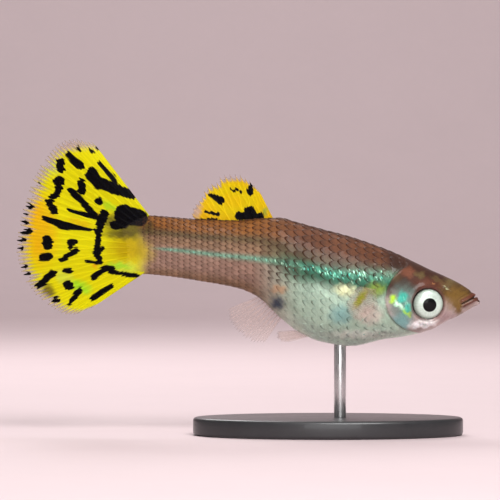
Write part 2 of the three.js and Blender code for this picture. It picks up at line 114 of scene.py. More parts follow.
# Forms in the head's skin: how far it rises or sinks, where the middle lies and the half width. The
# first lie above the mouth's slit, and the others forward of the mouth's corner, out from the middle of
# the eye or nostril, or behind the gill cover's edge.
LIP_FORMS = {
    "upper lip": (0.085, 0.2, 0.13),
    "lower lip": (0.075, -0.2, 0.14),
    "slit": (-0.3, 0.0, 0.075),
    "fold behind the upper lip": (-0.06, 0.62, 0.1),
}
MOUTH_CREASE = (-0.05, -0.12, 0.1)
EYE_RIM = (0.1, 1.85, 0.2)
CHEEK_LINE = (-0.035, 2.75, 0.12)
NOSTRIL_RIM = (0.05, 0.22, 0.07)
NOSTRIL_PIT = (-0.2, 0.0, 0.12)
GILL_GROOVE = (-0.09, 0.15, 0.09)

# Spans over which those forms come in: forward of the mouth's corner, away from its slit, up the cheek,
# at the top and foot of the gill cover, and behind the cover's edge.
MOUTH_SPAN = (-0.15, 0.25)
CREASE_SPAN = (0.75, 0.5)
CHEEK_SPAN = (0.5, -1.0)
GILL_TOP_SPAN = (4.2, 3.0)
GILL_FOOT_SPAN = (-3.2, -2.4)
GILL_PLATE_SPAN = (0.11, -0.03)

# Free edge of the gill cover: above, behind.
GILL_EDGE = np.array([
    (3.6, 7.3),
    (3.0, 8.15),
    (2.2, 8.85),
    (1.2, 9.3),
    (0.2, 9.42),
    (-0.9, 9.2),
    (-1.9, 8.5),
    (-2.7, 7.3),
    (-3.2, 5.6),
])

# Bright line along the flank: behind, above, half width.
FLANK_LINE = np.array([
    (8.0, 2.2, 0.7),
    (10.4, 2.7, 0.7),
    (13.4, 2.75, 0.7),
    (16.5, 3.35, 0.5),
    (19.4, 3.9, 0.42),
    (22.4, 4.35, 0.32),
    (25.9, 4.7, 0.27),
    (29.4, 5.1, 0.22),
    (31.6, 5.3, 0.16),
    (34.0, 5.5, 0.1),
])

# Finish colours, as seen under white light: red, green and blue from 0 to 255.
PAINT = {
    "crown": (62, 37, 28),
    "back_front": (98, 60, 40),
    "back_rear": (128, 79, 34),
    "spine": (62, 38, 30),
    "upper_flank": (98, 80, 54),
    "shadow_flank": (76, 66, 52),
    "teal": (44, 88, 66),
    "turquoise": (84, 168, 142),
    "cream": (222, 224, 176),
    "leaf": (124, 146, 58),
    "olive": (152, 152, 44),
    "silver_green": (160, 182, 162),
    "pearl": (208, 226, 208),
    "belly_white": (224, 224, 212),
    "blue_grey": (110, 158, 156),
    "rose": (190, 172, 162),
    "stalk": (134, 104, 80),
    "mauve": (146, 115, 100),
    "gravid": (62, 70, 82),
    "amber": (190, 132, 84),
    "rust": (98, 54, 38),
    "amber_brown": (134, 80, 56),
    "ochre": (114, 86, 38),
    "olive_brown": (100, 82, 50),
    "cheek": (170, 146, 144),
    "throat": (182, 164, 158),
    "white": (246, 246, 244),
    "lime": (176, 220, 60),
    "mint": (196, 240, 206),
    "cyan": (64, 190, 168),
    "gill_grey": (100, 124, 116),
    "lip": (92, 46, 32),
    "lip_gap": (156, 116, 90),
    "socket": (96, 60, 54),
    "iris": (214, 228, 218),
    "lemon": (204, 196, 10),
    "gold": (206, 160, 12),
    "lime_yellow": (190, 202, 60),
    "spring": (132, 206, 40),
    "tail_ochre": (176, 152, 12),
    "tail_olive": (70, 60, 28),
    "orange": (226, 142, 16),
    "smoke": (170, 146, 138),
    "ink": (6, 5, 8),
    "clear": (192, 164, 152),
}

# Spans over which one colour gives way to another: behind the snout, behind the gill cover's edge,
# above the snout, by share of the body's depth, on the face, and across the edge of a mark or patch.
# The last number is how far the outline of a patch wavers.
REAR_SPAN = (17.0, 23.0)
NAPE_SPAN = (9.8, 8.8)
SNOUT_SPAN = (3.5, 2.2)
LINE_END_SPAN = (33.5, 31.0)
MARKS_START_SPAN = (32.2, 32.6)
FIN_COLOUR_SPAN = (32.9, 34.6)
HEAD_PAINT_SPAN = (0.12, -0.05)
HEAD_TOP_SPAN = (4.6, 3.4)
THROAT_DEPTHS = (0.62, 0.42)
SPINE_DEPTHS = (0.965, 1.0)
PEARL_DEPTHS = (0.56, 0.26)
PAINTED_GLINT_DEPTHS = (0.7, 0.5)
FRECKLE_DEPTHS = (0.5, 0.8)
MOUTH_PAINT_SPAN = (-0.1, 0.2)
LIP_GAP_SPAN = (0.1, 0.0)
# The eye's dark rim on the skin, partly painted shade in the socket.
EYE_RIM_AND_SOCKET_SHADE_SPAN = (1.58, 1.48)
MARK_EDGE = (-0.08, 0.1)
PATCH_EDGE = (1.15, 0.25)
PATCH_WOBBLE = 0.07

# Bands of paint up the body: colour in front and behind, the least share of the latter, how far the
# crown's colour takes over on the head, and the shares of the depth where the band starts and is full.
BODY_BANDS = (
    ("silver_green", "mauve", 0.0, 0.0, 0.02, 0.2),
    ("teal", "stalk", 0.0, 0.0, 0.44, 0.58),
    ("shadow_flank", "upper_flank", 0.4, 0.0, 0.62, 0.72),
    ("back_front", "back_rear", 0.0, 1.0, 0.72, 0.84),
)

# Soft patches of paint on the body: behind, above, reach along, reach up, turn, colour, strength.
BODY_PATCHES = (
    (13.9, -1.0, 2.6, 1.5, 0.0, "silver_green", 0.6),
    (13.9, -1.2, 1.5, 1.3, 0.0, "blue_grey", 0.7),
    (16.8, 0.2, 2.6, 2.2, 0.3, "silver_green", 0.7),
    (11.0, -1.2, 1.6, 1.4, 0.0, "rose", 0.75),
    (13.45, 1.2, 1.35, 0.75, 0.1, "cream", 0.95),
    (10.4, 1.3, 1.2, 0.95, 0.0, "leaf", 0.9),
    (11.85, 0.38, 0.42, 1.45, 0.6, "olive", 0.95),
    (18.9, 3.5, 2.8, 0.9, 0.15, "spine", 0.4),
    (12.0, -3.2, 4.0, 0.6, 0.0, "belly_white", 0.7),
    (19.9, 1.3, 0.9, 0.6, 0.0, "amber", 0.55),
    (20.15, -0.1, 0.85, 0.95, 0.2, "gravid", 1.0),
    (20.1, -1.75, 0.6, 0.4, 0.3, "belly_white", 0.8),
    (18.0, 2.6, 2.4, 0.9, 0.2, "teal", 0.55),
    (34.1, 4.9, 2.1, 1.6, 0.0, "tail_ochre", 0.75),
    (33.0, 7.5, 0.8, 0.9, 0.0, "tail_olive", 0.8),
)
HEAD_PATCHES = (
    (2.3, 0.5, 1.9, 1.6, 0.0, "ochre", 0.95),
    (2.15, -0.6, 0.6, 1.1, -0.2, "ochre", 0.95),
    (3.1, 1.9, 1.6, 0.7, -0.5, "olive_brown", 0.9),
    (5.2, 1.8, 2.1, 0.8, 0.1, "rust", 0.7),
    (7.2, 3.0, 1.0, 0.7, 0.2, "amber_brown", 0.6),
    (8.6, 2.6, 0.9, 0.8, 0.0, "olive_brown", 0.5),
    (6.0, 2.75, 0.7, 0.4, 0.3, "olive_brown", 0.85),
    (4.3, 2.3, 0.8, 0.3, 0.5, "olive_brown", 0.6),
    # Painted highlights: a cream glint on the nostril's rim and a small amber glint above the eye.
    (3.35, 1.45, 0.5, 0.12, 0.5, "cream", 0.6),
    (4.7, 1.95, 0.25, 0.12, 0.3, "amber", 0.7),
    (3.6, -1.5, 1.6, 1.0, 0.3, "cheek", 1.0),
    (5.4, -2.7, 2.4, 0.6, 0.1, "throat", 0.9),
    (7.7, -0.1, 1.9, 2.4, 0.0, "gill_grey", 0.95),
    (7.9, -2.0, 1.5, 1.2, 0.0, "blue_grey", 0.85),
    (7.75, 0.5, 0.6, 0.75, 0.2, "cyan", 0.85),
    (7.3, -0.6, 0.5, 0.8, 0.5, "cyan", 0.8),
    (8.7, 0.3, 0.55, 0.5, 0.5, "lime", 1.0),
    (7.35, -1.0, 0.7, 0.26, 0.7, "lime", 0.8),
    (8.1, -0.3, 0.8, 0.3, 0.75, "mint", 1.0),
    (5.65, -2.1, 1.6, 0.52, -0.12, "white", 1.0),
    (5.6, -2.12, 1.5, 0.5, -0.12, "white", 1.0),
    (9.1, 1.4, 0.35, 1.2, 0.1, "spine", 0.65),
)
PECTORAL_PATCHES = ((12.0, 0.5, 0.45, 1.5, 0.6, "olive", 1.0),)
NET_PATCHES = ((19.6, 2.9, 3.2, 1.7, 0.2, "spine", 1.0),)
# Places of painted glints: bright flecks on the gill cover, under the eye and along the belly's lower edge,
# laid out as the patches are.
PAINTED_GLINTS = (
    (8.1, 0.1, 1.2, 0.7, 0.7, "mint", 1.0),
    (7.5, 0.2, 0.7, 1.3, 0.2, "mint", 0.9),
    (5.6, -2.1, 1.2, 0.35, -0.12, "white", 0.45),
    (11.6, -1.6, 0.5, 0.4, 0.0, "white", 0.7),
    (9.9, -3.0, 1.2, 0.35, 0.1, "white", 0.8),
    (11.5, -3.3, 0.5, 0.3, 0.0, "white", 0.8),
)

# Black marks on the fins: two places (behind, above) and the half width at each.
TAIL_MARKS = (
    ((33.9, 8.4, 0.85), (35.5, 8.75, 1.0)),
    ((35.5, 7.9, 0.55), (36.4, 7.7, 0.5)),
    ((34.7, 10.75, 0.48), (38.0, 11.9, 0.66)),
    ((38.65, 12.8, 0.72), (38.2, 12.1, 0.6)),
    ((37.85, 13.8, 0.25), (36.75, 12.6, 0.32)),
    ((36.75, 12.6, 0.32), (36.35, 11.9, 0.3)),
    ((41.15, 14.9, 0.34), (39.95, 13.7, 0.42)),
    ((41.85, 14.1, 0.4), (41.85, 13.4, 0.44)),
    ((42.1, 12.15, 0.5), (41.95, 12.05, 0.5)),
    ((41.95, 11.4, 0.36), (43.05, 9.9, 0.4)),
    ((42.7, 9.3, 0.44), (42.6, 9.2, 0.44)),
    ((39.75, 12.0, 0.42), (39.75, 11.2, 0.45)),
    ((40.85, 11.2, 0.3), (39.35, 9.7, 0.38)),
    ((39.35, 9.7, 0.38), (38.35, 8.5, 0.33)),
    ((38.1, 10.15, 0.38), (38.0, 10.05, 0.38)),
    ((41.05, 9.2, 0.2), (38.35, 8.5, 0.3)),
    ((43.55, 8.5, 0.22), (41.85, 7.7, 0.45)),
    ((41.85, 7.7, 0.45), (38.85, 7.2, 0.2)),
    ((43.4, 6.25, 0.48), (43.15, 5.7, 0.52)),
    ((43.7, 4.5, 0.4), (43.05, 4.5, 0.42)),
    ((41.0, 6.0, 0.33), (40.5, 6.0, 0.35)),
    ((40.85, 5.8, 0.2), (40.85, 5.4, 0.25)),
    ((41.75, 4.2, 0.28), (40.25, 5.2, 0.3)),
    ((41.45, 3.1, 0.24), (40.85, 3.1, 0.25)),
    ((44.15, 1.6, 0.36), (42.65, 2.9, 0.4)),
    ((41.1, 1.75, 0.5), (41.0, 1.65, 0.5)),
    ((40.95, -0.1, 0.27), (39.95, 1.2, 0.32)),
    ((42.5, 0.25, 0.3), (42.2, 0.1, 0.3)),
    ((38.65, 0.4, 0.3), (36.75, 1.6, 0.26)),
    ((38.55, 2.4, 0.3), (37.35, 3.4, 0.35)),
    ((37.35, 3.4, 0.35), (36.65, 3.4, 0.28)),
    ((36.85, 3.0, 0.25), (34.05, 2.6, 0.22)),
    ((37.45, 8.8, 0.5), (37.9, 7.8, 0.46)),
    ((38.4, 7.3, 0.16), (38.1, 6.9, 0.3)),
    ((37.6, 5.4, 0.2), (38.0, 5.1, 0.34)),
    ((38.6, 4.9, 0.12), (38.2, 4.7, 0.3)),
    ((37.85, 7.7, 0.36), (38.15, 6.2, 0.3)),
    ((38.15, 6.2, 0.3), (38.2, 4.9, 0.36)),
    ((38.2, 4.9, 0.33), (37.85, 4.0, 0.3)),
    ((39.35, 4.1, 0.14), (38.15, 3.9, 0.18)),
    ((44.1, 11.95, 0.2), (44.0, 11.8, 0.2)),
    ((45.15, 9.7, 0.3), (44.9, 9.5, 0.24)),
    ((45.75, 8.95, 0.28), (45.4, 8.85, 0.26)),
    ((45.85, 8.05, 0.27), (45.45, 8.0, 0.26)),
    ((45.8, 7.1, 0.36), (45.2, 7.15, 0.34)),
    ((46.2, 6.25, 0.27), (45.75, 6.2, 0.26)),
    ((46.2, 5.4, 0.27), (45.75, 5.35, 0.26)),
    ((45.8, 3.5, 0.28), (45.4, 3.6, 0.26)),
    ((45.4, 2.7, 0.28), (45.0, 2.8, 0.26)),
    ((40.2, 15.5, 0.2), (40.05, 15.3, 0.22)),
    ((38.8, 15.2, 0.18), (38.65, 15.0, 0.2)),
    ((38.3, 15.55, 0.14), (38.15, 15.35, 0.15)),
)
TAIL_FADED_MARKS = (((43.25, 1.2, 0.6), (43.05, 1.0, 0.6)),)
DORSAL_MARKS = (
    ((22.8, 11.45, 0.33), (22.8, 11.05, 0.38)),
    ((26.6, 10.6, 0.3), (25.7, 10.1, 0.36)),
    ((27.2, 9.0, 0.16), (26.0, 8.8, 0.2)),
    ((21.8, 8.55, 0.42), (24.0, 8.6, 0.42)),
    ((22.9, 9.15, 0.5), (22.8, 8.8, 0.6)),
    ((24.65, 11.2, 0.14), (23.85, 11.1, 0.18)),
    ((28.1, 8.2, 0.12), (26.2, 8.3, 0.12)),
)

# Soft patches of paint on the spotted fins, as for the body.
TAIL_PATCHES = (
    (44.0, 7.2, 2.3, 4.4, 0.0, "gold", 0.95),
    (44.4, 9.4, 0.8, 1.6, 0.2, "orange", 0.2),
    (44.2, 5.2, 0.7, 1.4, 0.0, "orange", 0.15),
    (40.0, 7.9, 1.6, 0.5, 0.3, "gold", 0.6),
    (34.9, 5.4, 2.7, 1.9, 0.0, "tail_ochre", 1.0),
    (35.3, 3.4, 1.8, 0.8, 0.2, "lime_yellow", 0.8),
    (36.0, 3.6, 1.5, 0.4, 0.1, "spring", 0.6),
    (39.9, 1.5, 1.5, 0.8, 0.4, "spring", 0.75),
    (41.6, 2.5, 1.2, 0.8, 0.3, "lime_yellow", 0.8),
    (37.0, 9.6, 1.5, 0.45, 0.5, "spring", 0.55),
    (42.7, 13.4, 1.2, 1.0, 0.0, "lime_yellow", 0.6),
    (33.4, 7.4, 0.8, 1.1, 0.0, "tail_olive", 0.95),
    (36.6, 8.0, 1.6, 1.1, 0.0, "tail_olive", 0.8),
    (36.2, 6.75, 2.0, 0.55, 0.05, "tail_olive", 0.75),
    (34.7, 7.25, 2.3, 1.2, 0.0, "tail_olive", 0.9),
    (38.2, 8.6, 0.5, 0.5, 0.0, "orange", 0.6),
    (38.4, 3.7, 0.5, 0.4, 0.0, "orange", 0.6),
    (41.4, 15.9, 3.0, 0.9, 0.0, "smoke", 0.9),
)
DORSAL_PATCHES = (
    (24.4, 10.2, 4.2, 2.6, 0.2, "lemon", 0.6),
    (24.6, 10.1, 1.6, 1.0, 0.2, "orange", 0.2),
    (21.3, 9.1, 0.4, 0.5, 0.0, "leaf", 0.7),
    (25.4, 12.7, 2.4, 0.55, 0.1, "smoke", 0.9),
    (28.3, 9.6, 0.7, 1.7, 0.0, "smoke", 0.85),
)

# Fins. Root and edge run from the front or top to the back or foot: behind, above, and out from the
# middle for the paired fins. Each ray forks as many times as said, and its tips stand past the membrane.
TAIL_FIN = {
    "ground": "lemon", "seed": 3, "marks": TAIL_MARKS, "faded": TAIL_FADED_MARKS, "patches": TAIL_PATCHES,
    "rays": 17, "forks": 2, "samples": 20, "rows": 76, "notch": 0.05, "ripple": 0.3, "waves": 2.2,
    "root": ((32.3, 7.85), (33.7, 7.2), (34.3, 5.75), (33.7, 4.3), (32.3, 3.65)),
    "edge": ((38.6, 16.05), (40.9, 16.45), (42.9, 15.35), (45.1, 11.7), (46.5, 5.7), (45.6, 2.1),
             (43.4, -0.3), (41.0, -1.4), (38.7, -0.6)),
}
DORSAL_FIN = {
    "ground": "gold", "seed": 5, "marks": DORSAL_MARKS, "faded": (), "patches": DORSAL_PATCHES,
    "rays": 9, "forks": 1, "samples": 20, "rows": 46, "notch": 0.08, "ripple": 0.16, "waves": 1.3,
    "root": ((20.3, 7.9), (23.8, 7.6), (27.3, 7.7)),
    "edge": ((22.0, 11.3), (22.9, 12.2), (24.2, 12.85), (25.6, 12.7), (27.0, 11.8), (28.0, 10.5),
             (28.6, 9.4), (28.75, 8.6)),
}
ANAL_FIN = {
    "ground": "clear", "seed": 11, "marks": (), "faded": (), "patches": (),
    "rays": 9, "forks": 1, "samples": 16, "rows": 36, "notch": 0.05, "ripple": 0.1, "waves": 1.0,
    "root": ((19.45, -1.3), (20.6, -0.2), (21.7, 0.75)),
    "edge": ((21.4, -4.1), (22.8, -3.95), (24.0, -3.1), (24.9, -1.9), (25.1, -0.7)),
}
PECTORAL_FIN = {
    "ground": "clear", "seed": 13, "marks": (), "faded": (), "patches": PECTORAL_PATCHES,
    "rays": 12, "forks": 1, "samples": 14, "rows": 34, "notch": 0.05, "ripple": 0.0, "waves": 0.0,
    "root": ((9.85, 1.2, 2.8), (9.9, -0.05, 2.95)),
    "edge": ((12.2, 1.65, 4.9), (13.2, 0.75, 5.6), (13.5, -0.35, 5.85), (13.0, -1.4, 5.6),
             (12.1, -1.9, 5.1)),
}
PELVIC_FIN = {
    "ground": "clear", "seed": 13, "marks": (), "faded": (), "patches": (),
    "rays": 6, "forks": 1, "samples": 14, "rows": 28, "notch": 0.05, "ripple": 0.0, "waves": 0.0,
    "root": ((16.2, -3.2, 0.95), (17.0, -2.8, 0.75)),
    "edge": ((19.2, -4.0, 1.75), (19.9, -3.85, 1.65), (20.3, -3.45, 1.45), (20.2, -2.95, 1.2)),
}
ROOT_SINK = -0.03
TIP_UNEVENNESS = 0.35
SHORT_TIP = 0.03
STRAND_SLIP = 0.45
FIN_SIDE_TAPER = 0.012
FIRST_FORK_SPAN = (0.3, 0.62)
SECOND_FORK_SPAN = (0.62, 0.9)
NEAR_ROOT_SPAN = (0.22, 0.02)
SMOKE_SPAN = (0.9, 1.0)
CLEAR_SPAN = (0.88, 1.0)
FIN_ROOT_HALF = 0.15
FIN_LATE_HALF = 0.035
RAY_ROOT_RISE = 0.06
RAY_LATE_RISE = 0.013

# Skin and scales.
SKIN_COLUMNS = 176
HEAD_RINGS = 150
BODY_RINGS = 190
HEAD_LENGTH = 9.6
RELIEF_ENDS = HEAD_LENGTH + 1.5
SNOUT_CROWDING = 1.25
FLESH_NODES = (
    "head", "upper_jaw", "lower_jaw", "gill_cover_left", "gill_cover_right", "trunk", "tail_stalk",
)
CAP_RINGS = 8
NOSE_CAP = 0.12
SCALE_SEED = 7
STALK_SHORTENING = 0.32
SCALES_START = 6.4
SCALES_END = 33.4
SCALES_GROW_SPAN = (SCALES_START - 1, SCALES_START + 3)
SCALES_FADE_SPAN = (34.4, 32.0)
STALK_SPAN = (19.0, 24.0)
SHORTENING_SPAN = (18.0, 27.0)
RELIEF_DEPTHS = (0.25, 0.6)
NET_DEPTHS = (0.42, 0.66)
NAPE_DEPTH = 0.8
NAPE_SLOPE = 8.0
GILL_CLEARANCE = 0.25

# A scale plate: its root and length as shares of the spacing, its half width as a share of a row, and
# its heights over the skin. The last row of points is a skirt that goes down into the skin.
PLATE_CELLS = 8
PLATE_ROOT = -0.8
PLATE_LENGTH = 1.78
PLATE_ROUNDING = 0.3
PLATE_HALF_WIDTH = 0.54
PLATE_TIP_RISE = 0.035
PLATE_CROWN = 0.02
PLATE_SINK = 0.022
PLATE_SKIRT = -0.04
PLATE_UNEVENNESS = 0.006
PATCH_LENGTH = 0.9
PATCH_HALF_WIDTH = 0.45
UNWRAP_LENGTH = 37.0
UNWRAP_EDGE = 0.02

# Stand and stage.
BASE_MIDDLE_X = 8.2
BASE_SIZE = (27.0, 15.0, 1.8)
ROD_X = 9.4
ROD_RADIUS = 0.6
ROD_SUNK = 0.05
ROD_IN_BELLY = 0.35
BASE_EDGE = {"width": 0.35, "segments": 5}
ROD_EDGE = {"width": 0.1, "segments": 3}
BEVEL_ANGLE = math.radians(60)
SMOOTH_ANGLE = math.radians(40)
PHOTO_WIDTH_MM = 50.0
VIEW_MIDDLE = (0.4, 18.5)
SENSOR_WIDTH = 36.0
CLIP_START = 0.005
CLIP_END = 5.0

# The sweep runs from in front of the model to behind it, then bends up into a wall.
SWEEP_WIDTH = 2400.0
SWEEP_COLUMNS = 9
SWEEP_FLOOR = (-900.0, -400.0, 0.0, 480.0)
SWEEP_BEND = 220.0
SWEEP_STEPS = 25
SWEEP_WALL = (150.0, 500.0)

# Lights: name, watts, width, place and what it is aimed at.
MODEL_MIDDLE = (0.0, 0.0, 16.0)
LIGHTS = (
    ("key", 0.68, 130.0, (60.0, -190.0, 190.0), MODEL_MIDDLE),
    ("fill", 0.16, 120.0, (20.0, -240.0, 30.0), MODEL_MIDDLE),
    ("rim", 0.3, 120.0, (-60.0, 180.0, 200.0), MODEL_MIDDLE),
    ("overhead", 0.14, 220.0, (0.0, 0.0, 280.0), MODEL_MIDDLE),
    ("backdrop", 1.45, 300.0, (0.0, 200.0, 420.0), (0.0, 700.0, 60.0)),
)
WORLD_COLOUR = (1.0, 0.95, 0.95, 1.0)
WORLD_STRENGTH = 0.28


# Shape helpers

def smooth_through(knots, values, where):
    """A curve through the values that never overshoots one of them."""
    steps = np.diff(values) / np.diff(knots)
    product = steps[:-1] * steps[1:]
    total = np.where(product > 0, steps[:-1] + steps[1:], 1.0)
    slopes = np.empty(len(values))
    slopes[1:-1] = np.where(product > 0, 2 * product / total, 0.0)
    slopes[0] = steps[0]
    slopes[-1] = steps[-1]
    where = np.clip(where, knots[0], knots[-1])
    i = np.clip(np.searchsorted(knots, where, side="right") - 1, 0, len(knots) - 2)
    span = knots[i + 1] - knots[i]
    t = (where - knots[i]) / span
    ends = values[i] * (1 + 2 * t) * (1 - t) ** 2 + values[i + 1] * t * t * (3 - 2 * t)
    return ends + span * (slopes[i] * t * (1 - t) ** 2 + slopes[i + 1] * t * t * (t - 1))


def smooth_step(low, high, value):
    """From 0 at low to 1 at high, which may be the smaller number."""
    t = np.clip((value - low) / (high - low), 0.0, 1.0)
    return t * t * (3 - 2 * t)


def hump(value, width):
    """1 at nought, falling away smoothly on both sides."""
    return np.exp(-((value / width) ** 2))


def curve_points(points, share):
    """Places along a smooth curve through points, by equal lengths."""
    points = np.array([tuple(p) + (0.0,) * (3 - len(p)) for p in points])
    padded = np.vstack([2 * points[0] - points[1], points, 2 * points[-1] - points[-2]])
    fine = []
    for a, b, c, d in zip(padded, padded[1:], padded[2:], padded[3:]):
        for t in np.linspace(0, 1, 24, endpoint=False):
            fine.append(0.5 * (2 * b + (c - a) * t + (2 * a - 5 * b + 4 * c - d) * t**2
                               + (3 * b - a - 3 * c + d) * t**3))
    fine = np.array(fine + [points[-1]])
    length = np.concatenate([[0], np.cumsum(np.linalg.norm(np.diff(fine, axis=0), axis=1))])
    return np.stack([np.interp(share * length[-1], length, fine[:, k]) for k in range(3)], axis=-1)


def section_at(behind):
    """Back, belly, half width, widest level and upper and lower squareness at a distance."""
    return [smooth_through(SECTIONS[:, 0], SECTIONS[:, k], behind) for k in range(1, 7)]


def outline(behind, turn):
    """(above, out) on the body's outline. A quarter turn is the back."""
    top, bottom, half, widest, upper, lower = section_at(behind)
    level = bottom + (top - bottom) * widest
    c, s = np.cos(turn), np.sin(turn)
    power = 2 / np.where(s >= 0, upper, lower)
    height = np.where(s >= 0, top - level, level - bottom)
    return level + np.sign(s) * np.abs(s) ** power * height, np.sign(c) * np.abs(c) ** power * half


# The turn that lies a given share of the girth from the back: down the right flank to the belly at
# one half, and up the left flank.
GIRTH_RINGS = np.linspace(0, TAIL_END, 240)
GIRTH_SHARES = np.linspace(0, 1, 241)


def girth_table():
    """The turn for each ring and share of the girth, by equal lengths along the outline."""
    table = np.empty((len(GIRTH_RINGS), len(GIRTH_SHARES)))
    turns = np.linspace(0, 2 * math.pi, 721) + math.pi / 2
    for row, behind in enumerate(GIRTH_RINGS):
        above, out = outline(np.full(turns.shape, behind), turns)
        length = np.concatenate([[0], np.cumsum(np.hypot(np.diff(above), np.diff(out)))])
        table[row] = np.interp(GIRTH_SHARES * length[-1], length, turns)
    return table


GIRTH = girth_table()


def turn_at(behind, share):
    """Reads the girth table between its rings and shares."""
    share = share - np.floor(share)
    r = np.clip(behind / TAIL_END, 0, 1) * (len(GIRTH_RINGS) - 1)
    c = share * (len(GIRTH_SHARES) - 1)
    i = np.minimum(r.astype(int), len(GIRTH_RINGS) - 2)
    j = np.minimum(c.astype(int), len(GIRTH_SHARES) - 2)
    r, c = r - i, c - j
    near = GIRTH[i, j] * (1 - c) + GIRTH[i, j + 1] * c
    far = GIRTH[i + 1, j] * (1 - c) + GIRTH[i + 1, j + 1] * c
    return near * (1 - r) + far * r


def skin_place(behind, share):
    """The spot (behind, above, out) on the plain body."""
    above, out = outline(behind, turn_at(behind, share))
    return np.stack([behind, above, out], axis=-1)


def skin_normal(behind, share):
    """The direction straight out of the plain body."""
    after = skin_place(np.minimum(behind + NORMAL_STEP, TAIL_END), share)
    before = skin_place(np.maximum(behind - NORMAL_STEP, 0), share)
    below = skin_place(behind, share + NORMAL_STEP / 10)
    over = skin_place(behind, share - NORMAL_STEP / 10)
    normal = np.cross(after - before, below - over)
    normal /= np.maximum(np.linalg.norm(normal, axis=-1, keepdims=True), 1e-9)
    middle = skin_place(behind, share + 0.5)
    outward = skin_place(behind, share) - middle
    return normal * np.sign(np.sum(normal * outward, axis=-1, keepdims=True))


def in_frame(place):
    """Rows of (behind, above, out) in millimetres, turned to the frame's metres with the pose's sway."""
    behind, above, out = place[..., 0], place[..., 1], place[..., 2]
    sway = SWAY_SIDEWAYS * (np.maximum(0, behind - SWAY_STARTS) / SWAY_REACH) ** 2
    return np.stack([SNOUT_X - behind, out + sway, SNOUT_Z + above], axis=-1) * MM


def gill_edge_behind(above):
    """How far behind the snout the gill cover's free edge is at a height."""
    order = np.argsort(GILL_EDGE[:, 0])
    return smooth_through(GILL_EDGE[order, 0], GILL_EDGE[order, 1], above)


def depth_share(place):
    """How high each place lies between the belly, 0, and the back, 1."""
    top, bottom = section_at(place[..., 0])[:2]
    return (place[..., 1] - bottom) / (top - bottom)


def eye_distance(place):
    return np.hypot(place[..., 0] - EYE["behind"], place[..., 1] - EYE["above"])


def near_mouth(place):
    """How far forward of the mouth's corner along its slit, and how far above the slit."""
    behind = MOUTH_CORNER[0] - place[..., 0]
    above = place[..., 1] - MOUTH_CORNER[1]
    forward = behind * math.cos(MOUTH_ANGLE) + above * math.sin(MOUTH_ANGLE)
    return forward, above * math.cos(MOUTH_ANGLE) - behind * math.sin(MOUTH_ANGLE)


def form(where, shape):
    """A rounded ridge or groove, with its height, its middle and its half width."""
    rise, middle, width = shape
    return rise * hump(where - middle, width)


def head_relief(place):
    """How far the skin of the head stands out from the plain body, in millimetres."""
    behind, above = place[..., 0], place[..., 1]
    forward, over = near_mouth(place)
    lips = sum(form(over, shape) for shape in LIP_FORMS.values())
    rise = smooth_step(*MOUTH_SPAN, forward) * lips
    rise += form(forward, MOUTH_CREASE) * smooth_step(*CREASE_SPAN, np.abs(over))
    r = eye_distance(place)
    rise += form(r, EYE_RIM) + form(r, CHEEK_LINE) * smooth_step(*CHEEK_SPAN, above)
    rise -= SOCKET_DEPTH * smooth_step(EYE["radius"], EYE["radius"] - SOCKET_SLOPE, r)
    pit = np.hypot(behind - NOSTRIL[0], (above - NOSTRIL[1]) * NOSTRIL_FLATNESS)
    rise += form(pit, NOSTRIL_RIM) + form(pit, NOSTRIL_PIT)
    past = behind - gill_edge_behind(above)
    near_gill = smooth_step(*GILL_TOP_SPAN, above) * smooth_step(*GILL_FOOT_SPAN, above)
    plate = smooth_step(*GILL_PLATE_SPAN, past) * np.exp(np.minimum(past, 0) / GILL_PLATE_FALL)
    return rise + near_gill * (GILL_PLATE_RISE * plate + form(past, GILL_GROOVE))


# Colour helpers

def paint(name):
    """A named finish colour in linear light."""
    c = np.array(PAINT[name]) / 255
    return np.where(c <= 0.04045, c / 12.92, ((c + 0.055) / 1.055) ** 2.4)


def mixed(colours, other, share):
    """The colours with a share of the other laid over them."""
    return colours + (other - colours) * np.asarray(share)[..., None]


def patch_share(place, behind, above, along, up, turn):
    """How far a soft oval patch covers each place."""
    dx, dz = place[..., 0] - behind, place[..., 1] - above
    a = (dx * math.cos(turn) + dz * math.sin(turn)) / along
    b = (dz * math.cos(turn) - dx * math.sin(turn)) / up
    return smooth_step(*PATCH_EDGE, np.hypot(a, b))


def wobbled(place):
    """Places pushed about a little, so that patches of paint get uneven outlines."""
    b, a = place[..., 0], place[..., 1]
    along = np.sin(4.3 * b + 2.9 * a) + np.sin(9.1 * a - 5.2 * b + 1.3) + 0.6 * np.sin(17.0 * b + 13.0 * a)
    up = np.sin(5.7 * b - 3.1 * a + 0.7) + np.sin(8.3 * a + 6.4 * b) + 0.6 * np.sin(15.0 * b - 19.0 * a)
    return np.stack([b + PATCH_WOBBLE * along, a + PATCH_WOBBLE * up], axis=-1)


def patched(colours, place, patches):
    """The colours with the patches laid over them in turn."""
    place = wobbled(place)
    for *shape, name, strength in patches:
        colours = mixed(colours, paint(name), strength * patch_share(place, *shape))
    return colours


def patch_mask(place, patches):
    """How far any of the patches covers each place, whatever their colours and strengths."""
    if not patches:
        return np.zeros(place.shape[:-1])
    return np.max([patch_share(place, *shape) for *shape, _, _ in patches], axis=0)


def mark_depth(place, marks):
    """How far inside the nearest mark each place is, in millimetres."""
    depth = np.full(place.shape[:-1], -9.0)
    for (b1, a1, r1), (b2, a2, r2) in marks:
        span = max((b2 - b1) ** 2 + (a2 - a1) ** 2, 1e-9)
        t = ((place[..., 0] - b1) * (b2 - b1) + (place[..., 1] - a1) * (a2 - a1)) / span
        t = np.clip(t, 0, 1)
        away = np.hypot(place[..., 0] - b1 - t * (b2 - b1), place[..., 1] - a1 - t * (a2 - a1))
        depth = np.maximum(depth, r1 + t * (r2 - r1) - away)
    return depth


def flank_line(place):
    """How far above the flank's bright line each place is, in its half widths."""
    level = smooth_through(FLANK_LINE[:, 0], FLANK_LINE[:, 1], place[..., 0])
    width = smooth_through(FLANK_LINE[:, 0], FLANK_LINE[:, 2], place[..., 0])
    return (place[..., 1] - level) / width


